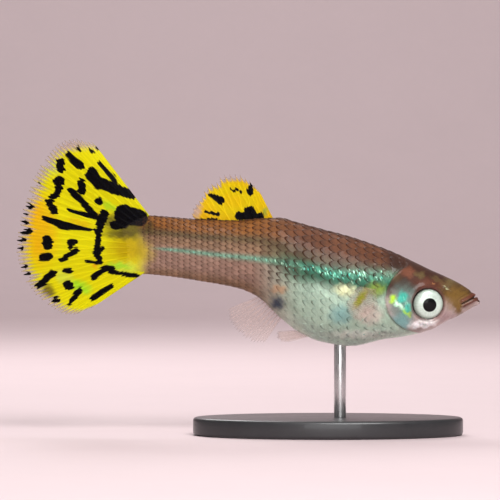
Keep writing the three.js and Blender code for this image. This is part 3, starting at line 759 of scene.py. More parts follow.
def head_paint(place, h):
    """The colours of the crown, cheeks, snout and gill covers."""
    colours = mixed(paint("crown"), paint("throat"), smooth_step(*THROAT_DEPTHS, h))
    return patched(colours, place, HEAD_PATCHES)


def with_face(colours, place):
    """The colours with the lips, painted shade in the slit between them, and the dark ring round the eye,
    partly painted shade in its socket.
    """
    forward, over = near_mouth(place)
    on_mouth = smooth_step(*MOUTH_PAINT_SPAN, forward)
    for name, share in (
        ("lip_gap", 0.6 * smooth_step(*LIP_GAP_SPAN, np.abs(over - 0.02))),
        ("lip", 0.95 * hump(over - 0.3, 0.2)),
        ("lip", 0.95 * hump(over + 0.28, 0.2)),
        # Painted shade: a dark line down the mouth's slit.
        ("ink", 0.9 * hump(over, 0.05)),
    ):
        colours = mixed(colours, paint(name), on_mouth * share)
    r = eye_distance(place)
    colours = mixed(colours, paint("socket"), 0.75 * hump(r - 1.62, 0.14))
    # The eye's dark rim, with painted shade where the skin dips into the socket.
    return mixed(colours, paint("ink"), 0.9 * smooth_step(*EYE_RIM_AND_SOCKET_SHADE_SPAN, r))


def body_paint(place):
    """The colour of the skin or of a scale at each place, how pearly it is, and where painted glints go."""
    behind, above = place[..., 0], place[..., 1]
    h = depth_share(place)
    rear = smooth_step(*REAR_SPAN, behind)
    head = smooth_step(*NAPE_SPAN, behind)
    colours = mixed(paint("pearl"), paint("stalk"), rear)
    for front, back, least, crowned, low, high in BODY_BANDS:
        band = mixed(paint(front), paint(back), least + (1 - least) * rear)
        band = mixed(band, paint("crown"), crowned * head)
        colours = mixed(colours, band, smooth_step(low, high, h))
    colours = mixed(colours, paint("spine"), 0.85 * smooth_step(*SPINE_DEPTHS, h))
    on_line = hump(flank_line(place), 1.0) * smooth_step(*LINE_END_SPAN, behind)
    colours = mixed(colours, paint("turquoise"), on_line * (0.4 + 0.2 * rear))
    colours = patched(colours, place, BODY_PATCHES)
    on_head = smooth_step(*HEAD_PAINT_SPAN, behind - gill_edge_behind(above))
    colours = mixed(colours, head_paint(place, h), on_head * smooth_step(*HEAD_TOP_SPAN, above))
    colours = with_face(colours, place)
    fin_colours = patched(paint("lemon"), place, TAIL_PATCHES)
    colours = mixed(colours, fin_colours, smooth_step(*FIN_COLOUR_SPAN, behind))
    spots = smooth_step(*MARK_EDGE, mark_depth(place, TAIL_MARKS))
    colours = mixed(colours, paint("ink"), spots * smooth_step(*MARKS_START_SPAN, behind))
    pearl = np.clip(smooth_step(*PEARL_DEPTHS, h) * (1 - 0.8 * rear) + 0.4 * on_line, 0, 1)
    pearl *= 1 - 0.6 * smooth_step(*SNOUT_SPAN, behind)
    # Painted glints: along the flank's line, on the pale lower flank and at the listed places.
    glint = on_line * (1.0 - 0.35 * rear) + 0.35 * smooth_step(*PAINTED_GLINT_DEPTHS, h) * (1 - rear)
    glint = np.clip(glint, 0, 1)
    glint = np.maximum(glint * (1 - on_head), 0.88 * patch_mask(place, PAINTED_GLINTS))
    return colours, pearl, glint, h


# Mesh helpers

def deselected():
    """Leaves edit mode and deselects all, because operators act on what is selected."""
    if bpy.context.object and bpy.context.object.mode != "OBJECT":
        bpy.ops.object.mode_set(mode="OBJECT")
    bpy.ops.object.select_all(action="DESELECT")


def point_places(piece):
    places = np.empty(len(piece.data.vertices) * 3)
    piece.data.vertices.foreach_get("co", places)
    return places.reshape(-1, 3)


def numbered_grid(name, columns, rows):
    """A new grid with its own unwrap, and the column and the row that each of its points is in."""
    deselected()
    bpy.ops.mesh.primitive_grid_add(x_subdivisions=columns - 1, y_subdivisions=rows - 1, size=1.0)
    piece = bpy.context.object
    piece.name = name
    piece.data.name = name
    piece.data.uv_layers[0].name = "OFBake"
    places = point_places(piece)
    column = np.rint((places[:, 0] + 0.5) * (columns - 1)).astype(int)
    row = np.rint((places[:, 1] + 0.5) * (rows - 1)).astype(int)
    return piece, column, row


def set_places(piece, places):
    piece.data.vertices.foreach_set("co", np.ascontiguousarray(places, dtype=float).ravel())
    piece.data.update()


def set_values(piece, tint=None, **layers):
    """A colour and named numbers for each vertex, that the piece's material reads."""
    if tint is not None:
        layer = piece.data.attributes.new("tint", "FLOAT_COLOR", "POINT")
        tint = tint.reshape(-1, 3)
        layer.data.foreach_set("color", np.column_stack([tint, np.ones(len(tint))]).ravel())
    for name, values in layers.items():
        layer = piece.data.attributes.new(name, "FLOAT", "POINT")
        layer.data.foreach_set("value", np.asarray(values, dtype=float).ravel())


def unwrap_place(behind, share):
    """Where a spot of the body lies on its unwrap: the girth across and the length up."""
    return np.stack([UNWRAP_EDGE + share * (1 - 2 * UNWRAP_EDGE), (behind + 0.5) / UNWRAP_LENGTH], axis=-1)


def set_unwrap(piece, places):
    vertex = np.empty(len(piece.data.loops), dtype=np.int64)
    piece.data.loops.foreach_get("vertex_index", vertex)
    piece.data.uv_layers["OFBake"].data.foreach_set("uv", places[vertex].ravel())


def closed_up(piece):
    """Joins the vertices that lie on one another and turns all faces outwards."""
    deselected()
    piece.select_set(True)
    bpy.context.view_layer.objects.active = piece
    bpy.ops.object.mode_set(mode="EDIT")
    bpy.ops.mesh.select_all(action="SELECT")
    bpy.ops.mesh.remove_doubles(threshold=1e-6)
    bpy.ops.mesh.normals_make_consistent(inside=False)
    bpy.ops.object.mode_set(mode="OBJECT")
    bpy.ops.object.shade_smooth()


def dressed(piece, material, replaced=()):
    """Gives a finished piece its material and the nodes it stands for."""
    piece.data.materials.clear()
    piece.data.materials.append(material)
    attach(piece, "root")
    if replaced:
        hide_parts(*replaced)


# Material helpers

def feed(tree, node, inputs):
    """Links each input to the socket given for it, or sets it to the value given."""
    for key, value in inputs.items():
        if isinstance(value, bpy.types.NodeSocket):
            tree.links.new(value, node.inputs[key])
        else:
            node.inputs[key].default_value = value


def add(tree, kind, inputs=None, **settings):
    node = tree.nodes.new("ShaderNode" + kind)
    for key, value in settings.items():
        setattr(node, key, value)
    feed(tree, node, inputs or {})
    return node


def attribute(tree, name, output="Fac"):
    return add(tree, "Attribute", attribute_name=name).outputs[output]


def maths(tree, operation, a, b=0.5, c=0.5):
    return add(tree, "Math", {0: a, 1: b, 2: c}, operation=operation).outputs[0]


def ramped(tree, value, low, high, to_low=0.0, to_high=1.0):
    inputs = {"Value": value, "From Min": low, "From Max": high, "To Min": to_low, "To Max": to_high}
    return add(tree, "MapRange", inputs, interpolation_type="SMOOTHSTEP").outputs["Result"]


def blended(tree, share, a, b, way="MIX"):
    return add(tree, "Mix", {0: share, 6: a, 7: b}, data_type="RGBA", blend_type=way).outputs[2]


def rgba(name):
    return (*paint(name), 1.0)


def new_group(name, inputs, outputs):
    """An empty node group with named sockets, and its two end nodes."""
    tree = bpy.data.node_groups.new(name, "ShaderNodeTree")
    for label, kind, default in inputs:
        socket = tree.interface.new_socket(label, in_out="INPUT", socket_type=kind)
        if default is not None:
            socket.default_value = default
    for label, kind in outputs:
        tree.interface.new_socket(label, in_out="OUTPUT", socket_type=kind)
    return tree, tree.nodes.new("NodeGroupInput"), tree.nodes.new("NodeGroupOutput")


def mottle_group():
    """Uneven pigment: two sizes of noise about one, and a fine height for the bump."""
    tree, given, out = new_group(
        "pigment mottle",
        [("Vector", "NodeSocketVector", None), ("Size", "NodeSocketFloat", 900.0),
         ("Strength", "NodeSocketFloat", 0.3)],
        [("Value", "NodeSocketFloat"), ("Height", "NodeSocketFloat")],
    )
    vector, size, strength = given.outputs[0], given.outputs[1], given.outputs[2]
    broad = add(tree, "TexNoise", {"Vector": vector, "Scale": size, "Detail": 3.0}).outputs["Fac"]
    fine_size = maths(tree, "MULTIPLY", size, 6.0)
    fine = add(tree, "TexNoise", {"Vector": vector, "Scale": fine_size, "Detail": 2.0}).outputs["Fac"]
    total = maths(tree, "ADD", broad, maths(tree, "MULTIPLY", fine, 0.6))
    centred = maths(tree, "SUBTRACT", total, 0.8)
    tree.links.new(maths(tree, "MULTIPLY_ADD", centred, strength, 1.0), out.inputs["Value"])
    tree.links.new(fine, out.inputs["Height"])
    return tree


def painted_glint_group():
    """Painted glints: small upright bright flecks and streaks where a mask allows them, each cell lit or
    unlit at random.
    """
    tree, given, out = new_group(
        "painted iridescent glints",
        [("Vector", "NodeSocketVector", None), ("Size", "NodeSocketFloat", 4500.0),
         ("Mask", "NodeSocketFloat", 0.5)],
        [("Mask", "NodeSocketFloat"), ("Hue", "NodeSocketFloat"), ("Shade", "NodeSocketFloat")],
    )
    leaning = add(tree, "Mapping", {"Vector": given.outputs[0], "Rotation": (0.0, 0.35, 0.0)}).outputs[0]
    upright = add(tree, "Mapping", {"Vector": leaning, "Scale": (1.7, 1.0, 0.5)}).outputs[0]
    bend = add(tree, "TexNoise", {"Vector": given.outputs[0], "Scale": 5200.0, "Detail": 2.0})
    pushed = add(tree, "VectorMath", {0: bend.outputs["Color"], 1: (0.00022, 0.00022, 0.00022)},
                 operation="MULTIPLY").outputs[0]
    place = add(tree, "VectorMath", {0: upright, 1: pushed}, operation="ADD").outputs[0]
    cells = add(tree, "TexVoronoi", {"Vector": place, "Scale": given.outputs[1]})
    split = add(tree, "SeparateColor", {"Color": cells.outputs["Color"]})
    chance = maths(tree, "ADD", split.outputs[0], given.outputs[2])
    lit = ramped(tree, chance, 1.3, 1.6)
    core = ramped(tree, cells.outputs["Distance"], 0.55, 0.25)
    tree.links.new(maths(tree, "MULTIPLY", lit, core), out.inputs["Mask"])
    tree.links.new(split.outputs[1], out.inputs["Hue"])
    streaks = add(tree, "TexNoise", {"Vector": upright, "Scale": 2600.0, "Detail": 4.0}).outputs["Fac"]
    depth = maths(tree, "MULTIPLY", maths(tree, "SUBTRACT", streaks, 0.5), 3.0)
    tree.links.new(maths(tree, "MULTIPLY_ADD", depth, given.outputs[2], 1.0), out.inputs["Shade"])
    return tree


def freckle_group():
    """Dark pigment cells, as fine dots."""
    tree, given, out = new_group(
        "pigment freckles",
        [("Vector", "NodeSocketVector", None), ("Size", "NodeSocketFloat", 7000.0),
         ("Amount", "NodeSocketFloat", 0.4)],
        [("Mask", "NodeSocketFloat")],
    )
    cells = add(tree, "TexVoronoi", {"Vector": given.outputs[0], "Scale": given.outputs[1]})
    split = add(tree, "SeparateColor", {"Color": cells.outputs["Color"]})
    width = maths(tree, "MULTIPLY", split.outputs[0], 0.42)
    inside = maths(tree, "SUBTRACT", width, cells.outputs["Distance"])
    dot = ramped(tree, inside, -0.05, 0.06)
    tree.links.new(maths(tree, "MULTIPLY", dot, given.outputs[2]), out.inputs["Mask"])
    return tree


def ray_group():
    """Light and dark along a fin's rays, with streaks that run the way the rays do."""
    tree, given, out = new_group(
        "ray shading",
        [("Ray", "NodeSocketFloat", 0.5), ("Across", "NodeSocketFloat", 0.5),
         ("Along", "NodeSocketFloat", 0.5)],
        [("Shade", "NodeSocketFloat"), ("Streak", "NodeSocketFloat")],
    )
    across = maths(tree, "MULTIPLY", given.outputs[1], 2.6)
    along = maths(tree, "MULTIPLY", given.outputs[2], 3.2)
    place = add(tree, "CombineXYZ", {0: across, 1: along}).outputs[0]
    streak = add(tree, "TexNoise", {"Vector": place, "Scale": 1.6, "Detail": 4.0}).outputs["Fac"]
    tree.links.new(maths(tree, "SUBTRACT", streak, 0.5), out.inputs["Streak"])
    lift = maths(tree, "MULTIPLY_ADD", given.outputs[0], 0.16, 0.9)
    tree.links.new(maths(tree, "MULTIPLY_ADD", streak, 0.16, maths(tree, "SUBTRACT", lift, 0.08)),
                   out.inputs["Shade"])
    return tree


GROUP_MAKERS = {"mottle": mottle_group, "painted_flecks": painted_glint_group, "freckle": freckle_group, "ray": ray_group}
GROUPS = {}


def use_group(tree, name, inputs):
    """Places a group in a material. Each group is made once."""
    if name not in GROUPS:
        GROUPS[name] = GROUP_MAKERS[name]()
    return add(tree, "Group", inputs, node_tree=GROUPS[name])


def new_material(name):
    material = bpy.data.materials.new(name)
    material.use_nodes = True
    tree = material.node_tree
    return material, tree, tree.nodes["Principled BSDF"]


def scaled_colour(tree, colour, value):
    """A colour made lighter or darker by a number."""
    grey = add(tree, "CombineColor", {0: value, 1: value, 2: value}).outputs[0]
    return blended(tree, 1.0, colour, grey, "MULTIPLY")


def flesh_material(name, plates):
    """Wet, pearly skin with painted glints. Scale plates add a dark rim and a tone of their own."""
    material, tree, skin = new_material(name)
    vector = add(tree, "TexCoord").outputs["Object"]
    pearly = attribute(tree, "pearl")
    mottle = use_group(tree, "mottle", {"Vector": vector, "Size": 1100.0, "Strength": 0.55})
    colour = scaled_colour(tree, attribute(tree, "tint", "Color"), mottle.outputs["Value"])
    freckles = use_group(tree, "freckle",
                         {"Vector": vector, "Size": 8000.0, "Amount": attribute(tree, "freckle")})
    colour = blended(tree, freckles.outputs["Mask"], colour, rgba("spine"))
    if plates:
        seed = attribute(tree, "seed")
        colour = scaled_colour(tree, colour, ramped(tree, seed, 0.0, 1.0, 0.86, 1.12))
        rim = ramped(tree, attribute(tree, "rim"), 0.58, 1.0)
        rim = maths(tree, "MULTIPLY", rim, ramped(tree, mottle.outputs["Height"], 0.3, 0.6, 0.55, 1.15))
        rim = maths(tree, "MULTIPLY", rim, attribute(tree, "net"))
        colour = blended(tree, rim, colour, rgba("spine"))
        pearly = maths(tree, "MULTIPLY", pearly, ramped(tree, seed, 0.1, 0.9, 0.6, 1.2))
    # Painted glints: bright cyan and mint flecks laid into the colour, with streaky mottling.
    flecks = use_group(tree, "painted_flecks", {"Vector": vector, "Size": 3600.0, "Mask": attribute(tree, "glint")})
    colour = scaled_colour(tree, colour, maths(tree, "MAXIMUM", flecks.outputs["Shade"], 0.2))
    bright = blended(tree, flecks.outputs["Hue"], rgba("cyan"), rgba("mint"))
    metal = maths(tree, "MAXIMUM", maths(tree, "MULTIPLY", pearly, 0.3),
                  maths(tree, "MULTIPLY", flecks.outputs["Mask"], 0.4))
    bump = add(tree, "Bump", {"Height": mottle.outputs["Height"], "Strength": 0.35, "Distance": 0.00002})
    feed(tree, skin, {
        "Base Color": blended(tree, flecks.outputs["Mask"], colour, bright),
        "Metallic": metal,
        "Roughness": ramped(tree, pearly, 0.0, 1.0, 0.5, 0.34),
        "Normal": bump.outputs[0],
        "Specular IOR Level": 0.12,
        "Coat Weight": 0.08 if plates else 0.2,
        "Coat Roughness": 0.07,
        "Subsurface Weight": 0.12,
        "Subsurface Radius": (1.0, 0.5, 0.35),
        "Subsurface Scale": 0.0006,
    })
    return material


def shaded_rays(tree):
    """The fin's tint, light and dark along its rays, and the streaks that run with them."""
    inputs = {name: attribute(tree, name.lower()) for name in ("Ray", "Across", "Along")}
    ray = use_group(tree, "ray", inputs)
    colour = scaled_colour(tree, attribute(tree, "tint", "Color"), ray.outputs["Shade"])
    return colour, ray.outputs["Streak"]


def spotted_fin_material():
    """Yellow membrane with black marks whose ends break up along the rays."""
    material, tree, fin = new_material("spotted fin membrane")
    colour, streak = shaded_rays(tree)
    mark = ramped(tree, maths(tree, "MULTIPLY_ADD", streak, 0.55, attribute(tree, "mark")), -0.05, 0.06)
    faded = ramped(tree, maths(tree, "MULTIPLY_ADD", streak, 0.8, attribute(tree, "faded")),
                   -0.3, 0.35, 0.0, 0.75)
    colour = blended(tree, faded, colour, rgba("spine"))
    thin = ramped(tree, attribute(tree, "clear"), 0.0, 1.0, 0.97, 0.3)
    feed(tree, fin, {
        "Base Color": blended(tree, mark, colour, rgba("ink")),
        "Alpha": maths(tree, "MAXIMUM", thin, maths(tree, "MULTIPLY", mark, 0.97)),
        "Roughness": ramped(tree, mark, 0.0, 1.0, 0.42, 0.34),
        "Specular IOR Level": 0.03,
        "Subsurface Weight": 0.15,
        "Subsurface Radius": (1.0, 0.8, 0.2),
        "Subsurface Scale": 0.0004,
    })
    return material


def clear_fin_material():
    """Clear membrane: denser on its rays, near its root and where it is painted."""
    material, tree, fin = new_material("clear fin membrane")
    solid = maths(tree, "MULTIPLY_ADD", attribute(tree, "ray"), 0.24, 0.16)
    solid = maths(tree, "SUBTRACT", solid, maths(tree, "MULTIPLY", attribute(tree, "along"), 0.08))
    solid = maths(tree, "ADD", solid, maths(tree, "MULTIPLY", attribute(tree, "near_root"), 0.3))
    solid = maths(tree, "ADD", solid, maths(tree, "MULTIPLY", attribute(tree, "dense"), 0.45))
    feed(tree, fin, {
        "Base Color": shaded_rays(tree)[0],
        "Alpha": solid,
        "Roughness": 0.3,
        "Specular IOR Level": 0.3,
    })
    return material


def eye_material():
    """Silver iris with fine fibres, a dark rim and a black pupil, by distance from the eye's axis."""
    material, tree, eye = new_material("eye")
    radius = attribute(tree, "radius")
    around = maths(tree, "MULTIPLY", attribute(tree, "angle"), 9.0)
    place = add(tree, "CombineXYZ", {0: around, 1: maths(tree, "MULTIPLY", radius, 1.4)})
    fibres = add(tree, "TexNoise", {"Vector": place.outputs[0], "Scale": 1.3, "Detail": 5.0}).outputs["Fac"]
    colour = blended(tree, ramped(tree, fibres, 0.3, 0.7, 0.0, 0.4), rgba("iris"), rgba("silver_green"))
    colour = blended(tree, ramped(tree, radius, 1.05, 1.35, 0.0, 0.3), colour, rgba("silver_green"))
    on_rim = ramped(tree, radius, IRIS_RADIUS - 0.08, IRIS_RADIUS + 0.05)
    colour = blended(tree, on_rim, colour, rgba("spine"))
    on_pupil = ramped(tree, radius, PUPIL_RADIUS + 0.03, PUPIL_RADIUS - 0.03)
    on_iris = ramped(tree, radius, PUPIL_RADIUS, PUPIL_RADIUS + 0.1)
    feed(tree, eye, {
        "Base Color": blended(tree, on_pupil, colour, rgba("ink")),
        "Metallic": maths(tree, "MULTIPLY", on_iris, 0.25),
        "Roughness": 0.3,
        "Specular IOR Level": 0.1,
        "Coat Weight": 0.22,
        "Coat Roughness": 0.03,
    })
    return material


def stand_base_material(colour):
    material, tree, base = new_material("satin black base")
    vector = add(tree, "TexCoord").outputs["Object"]
    mottle = use_group(tree, "mottle", {"Vector": vector, "Size": 300.0, "Strength": 0.5})
    bump = add(tree, "Bump", {"Height": mottle.outputs["Height"], "Strength": 0.2, "Distance": 0.00002})
    feed(tree, base, {
        "Base Color": scaled_colour(tree, (*colour, 1.0), mottle.outputs["Value"]),
        "Roughness": ramped(tree, mottle.outputs["Value"], 0.7, 1.3, 0.3, 0.42),
        "Normal": bump.outputs[0],
        "Coat Weight": 0.2,
    })
    return material


def stand_rod_material():
    material, tree, rod = new_material("brushed steel rod")
    vector = add(tree, "TexCoord").outputs["Object"]
    stretched = add(tree, "Mapping", {"Vector": vector, "Scale": (1.0, 1.0, 0.06)}).outputs[0]
    brushed = add(tree, "TexNoise", {"Vector": stretched, "Scale": 9000.0, "Detail": 3.0}).outputs["Fac"]
    shade = ramped(tree, brushed, 0.25, 0.75, 0.52, 0.66)
    feed(tree, rod, {
        "Base Color": add(tree, "CombineColor", {0: shade, 1: shade, 2: shade}).outputs[0],
        "Roughness": ramped(tree, brushed, 0.3, 0.7, 0.2, 0.36),
        "Metallic": 1.0,
    })
    return material


def floor_material(colour):
    material, tree, floor = new_material("pale floor")
    vector = add(tree, "TexCoord").outputs["Object"]
    grain = use_group(tree, "mottle", {"Vector": vector, "Size": 60.0, "Strength": 0.04})
    feed(tree, floor, {
        "Base Color": scaled_colour(tree, (*colour, 1.0), grain.outputs["Value"]),
        "Roughness": 0.75,
    })
    return material


# Settings, pieces and stage

class GuppySettings(bpy.types.PropertyGroup):
    """Sizes and colours that a user would change"""

    scale_rows: bpy.props.IntProperty(
        name="Scale rows", description="Rows of scales round the body", default=34, min=12, max=40)
    scale_length: bpy.props.FloatProperty(
        name="Scale spacing", description="Distance between two columns of scales on the trunk",
        default=0.00087, unit="LENGTH", precision=5)
    scale_relief: bpy.props.FloatProperty(
        name="Scale relief", description="How far the free edge of a scale stands up",
        default=0.00004, unit="LENGTH", precision=5)
    net_strength: bpy.props.FloatProperty(
        name="Net", description="How dark the rims of the scales are", default=0.74, subtype="FACTOR",
        min=0.0, max=1.0)
    base_colour: bpy.props.FloatVectorProperty(
        name="Base colour", description="Colour of the stand's base", default=(0.022, 0.022, 0.024),
        subtype="COLOR", size=3, min=0.0, max=1.0)
    floor_colour: bpy.props.FloatVectorProperty(
        name="Floor colour", description="Colour of the pale floor and backdrop",
        default=(0.64, 0.515, 0.53), subtype="COLOR", size=3, min=0.0, max=1.0)
    lens: bpy.props.FloatProperty(
        name="Lens", description="Focal length of the camera in millimetres",
        default=200.0, subtype="DISTANCE_CAMERA")


class GUPPY_OT_skin(bpy.types.Operator):
    """One continuous skin over head, jaws, gill covers, trunk and tail stalk"""

    bl_idname = "guppy.skin"
    bl_label = "Skin"

    def execute(self, context):
        head = HEAD_LENGTH * np.linspace(0, 1, HEAD_RINGS) ** SNOUT_CROWDING
        body = np.linspace(HEAD_LENGTH, TAIL_END, BODY_RINGS)[1:]
        cap = np.linspace(0, math.pi / 2, CAP_RINGS, endpoint=False)
        behinds = np.concatenate([np.zeros(CAP_RINGS), head, body, np.full(CAP_RINGS, TAIL_END)])
        shrink = np.concatenate([np.sin(cap), np.ones(len(head) + len(body)), np.sin(cap)[::-1]])
        shift = np.concatenate([-NOSE_CAP * np.cos(cap), np.zeros(len(head) + len(body)),
                                NOSE_CAP * np.cos(cap)[::-1]])
        piece, column, row = numbered_grid("skin", SKIN_COLUMNS + 1, len(behinds))
        behind, share = behinds[row], column / SKIN_COLUMNS
        place = skin_place(behind, share)
        relief = head_relief(place) * (behind < RELIEF_ENDS)
        place = place + skin_normal(behind, share) * relief[:, None]
        top, bottom, _, widest = section_at(behind)[:4]
        centre = np.stack([behind, bottom + (top - bottom) * widest, np.zeros(len(behind))], axis=-1)
        place = centre + (place - centre) * shrink[row][:, None]
        place[:, 0] += shift[row]
        set_places(piece, in_frame(place))
        set_unwrap(piece, unwrap_place(behind + shift[row], share))
        colours, pearl, glint, h = body_paint(place)
        freckle = 0.15 + 0.5 * smooth_step(*FRECKLE_DEPTHS, h)
        set_values(piece, colours, pearl=pearl, glint=0.6 * glint, freckle=freckle)
        closed_up(piece)
        dressed(piece, flesh_material("wet skin", False), FLESH_NODES)
        return {"FINISHED"}


def plate_spots(spacing, rows_round):
    """For each scale: how far behind it lies, its share of the girth, its length and a random number."""
    rng = np.random.default_rng(SCALE_SEED)
    spots = []
    behind, column = SCALES_START, 0
    while behind < SCALES_END:
        shortening = STALK_SHORTENING * float(smooth_step(*SHORTENING_SPAN, np.float64(behind)))
        length = spacing * (1.0 - shortening)
        for k in range(rows_round):
            share = (k + 0.5 * (column % 2)) / rows_round
            place = skin_place(np.array([behind]), np.array([share]))
            h = float(depth_share(place)[0])
            starts = float(gill_edge_behind(place[:, 1])[0]) + GILL_CLEARANCE
            if h >= NAPE_DEPTH:
                starts = SCALES_START + NAPE_SLOPE * (1 - h)
            if behind >= starts:
                spots.append((behind, share, length, rng.random()))
        behind += length
        column += 1
    return np.array(spots).T[:, :, None]


class GUPPY_OT_scales(bpy.types.Operator):
    """Overlapping scale plates over the trunk, the stalk and the nape"""

    bl_idname = "guppy.scales"
    bl_label = "Scales"

    def execute(self, context):
        settings = context.scene.guppy
        relief = settings.scale_relief / MM
        rows_round = settings.scale_rows
        behind, share, length, seed = plate_spots(settings.scale_length / MM, rows_round)
        cells = PLATE_CELLS + 1
        piece, i, j = numbered_grid("scales", cells, cells)
        many = piece.modifiers.new("many", "ARRAY")
        many.count = len(behind)
        bpy.ops.object.modifier_apply(modifier=many.name)
        p = np.clip(i / (PLATE_CELLS - 1), 0, 1)
        q = 2 * j / PLATE_CELLS - 1
        along = PLATE_ROOT + PLATE_LENGTH * p * (1 - PLATE_ROUNDING * q * q)
        across = PLATE_HALF_WIDTH * q * (0.8 + 0.2 * np.sin(math.pi * np.clip(p * 0.8 + 0.1, 0, 1)))
        at = np.clip(behind + along * length, 0.2, TAIL_END - 0.05)
        where = share + across / rows_round
        flat = skin_place(at, where)
        colours, pearl, glint, h = body_paint(flat)
        rear = smooth_step(*STALK_SPAN, at)
        grown = smooth_step(*SCALES_GROW_SPAN, at)
        strength = np.maximum(0.3 + 0.7 * smooth_step(*RELIEF_DEPTHS, h), 0.3 + 0.5 * rear)
        strength *= grown * smooth_step(*SCALES_FADE_SPAN, at)
        rise = (relief + PLATE_TIP_RISE) * p**1.4 * strength - PLATE_SINK
        rise += PLATE_CROWN * strength * ((1 - q * q) * p)
        rise = np.where(i == PLATE_CELLS, PLATE_SKIRT, rise)
        rise += (seed - 0.5) * PLATE_UNEVENNESS
        rise += head_relief(flat) * (at < RELIEF_ENDS)
        set_places(piece, in_frame(flat + skin_normal(at, where) * rise[..., None]))
        net = settings.net_strength * (0.12 + 0.88 * smooth_step(*NET_DEPTHS, h))
        net = np.maximum(net, settings.net_strength * 0.55 * rear)
        net = np.maximum(net, 0.9 * patch_mask(flat, NET_PATCHES))
        rim = np.maximum(p * (1 - 0.1 * q * q), np.abs(q) ** 2.2 * (0.35 + 0.65 * p))
        whole = np.ones(at.shape)
        set_values(piece, colours, pearl=pearl, glint=glint, net=net * grown, seed=seed * whole,
                   rim=rim * whole, freckle=0.1 + 0.4 * smooth_step(*FRECKLE_DEPTHS, h))
        patch = unwrap_place(behind + PATCH_LENGTH * (p - 0.5) * length,
                             share % 1.0 + PATCH_HALF_WIDTH * q / rows_round)
        set_unwrap(piece, patch.reshape(-1, 2))
        bpy.ops.object.mode_set(mode="EDIT")
        bpy.ops.mesh.select_all(action="SELECT")
        bpy.ops.mesh.flip_normals()
        bpy.ops.object.mode_set(mode="OBJECT")
        bpy.ops.object.shade_smooth()
        dressed(piece, flesh_material("scale plates", True))
        return {"FINISHED"}


def turned(a, b, angle):
    """Two coordinates turned about the third axis."""
    return a * math.cos(angle) + b * math.sin(angle), b * math.cos(angle) - a * math.sin(angle)


class GUPPY_OT_eyes(bpy.types.Operator):
    """Both eyes, each a domed ball with a silver iris and a black pupil"""

    bl_idname = "guppy.eyes"
    bl_label = "Eyes"

    def execute(self, context):
        material = eye_material()
        for side, word in SIDE_NAMES.items():
            deselected()
            bpy.ops.mesh.primitive_uv_sphere_add(segments=96, ring_count=64, radius=1.0)
            piece = bpy.context.object
            piece.name = f"eyeball_{word}"
            piece.data.uv_layers[0].name = "OFBake"
            places = point_places(piece)
            ahead, up, out = (places * (EYE["radius"], EYE["radius"], EYE["depth"])).T
            radial = np.hypot(ahead, up)
            angle = np.arctan2(up, ahead)
            outward = places[:, 2] > -0.02
            out = out * (1 - IRIS_FLATNESS * smooth_step(*IRIS_FLAT_SPAN, radial) * outward)
            out = out + CORNEA_RISE * smooth_step(*CORNEA_SPAN, radial) * outward
            ahead, out = turned(ahead, out, EYE["yaw"])
            up, out = turned(up, out, -EYE["dip"])
            place = np.stack([EYE["behind"] - ahead, EYE["above"] + up, side * (EYE["out"] + out)], axis=-1)
            set_places(piece, in_frame(place))
            set_values(piece, radius=np.where(outward, radial, BACK_OF_EYE), angle=np.abs(angle))
            closed_up(piece)
            dressed(piece, material, (f"eye_{word}",))
        return {"FINISHED"}


def ray_profile(across, along, forks):
    """How near each place is to the crest of a ray, from 0 to 1. A ray forks as it runs out."""
    phase = across - np.floor(across) - 0.5
    nearest = np.full(np.broadcast(phase, along).shape, 9.0)
    first = 0.25 * smooth_step(*FIRST_FORK_SPAN, along) * (forks > 0)
    second = 0.125 * smooth_step(*SECOND_FORK_SPAN, along) * (forks > 1)
    for a in (-1, 1):
        for b in (-1, 1):
            nearest = np.minimum(nearest, np.abs(phase - a * first - b * second))
    return hump(nearest, 0.11 - 0.05 * along)


def fin_reach(fin, share, across, rng):
    """Where each ray starts and how far it runs to the fin's edge, with tips of uneven length."""
    root = curve_points(fin["root"], share)
    tips = fin["rays"] * 2 ** fin["forks"]
    uneven = rng.random(tips + 2)[np.clip((across * 2 ** fin["forks"]).astype(int), 0, tips)]
    at_edge = ray_profile(across, np.ones(len(across)), fin["forks"])
    length = 1 - fin["notch"] * (1 - at_edge + TIP_UNEVENNESS * uneven) - SHORT_TIP * (uneven > 0.86)
    return root, curve_points(fin["edge"], share) - root, length


def fin_normal(fin):
    middle_ray = curve_points(fin["edge"], 0.5) - curve_points(fin["root"], 0.5)
    normal = np.cross(middle_ray, curve_points(fin["root"], 1.0) - curve_points(fin["root"], 0.0))
    return normal / np.linalg.norm(normal)


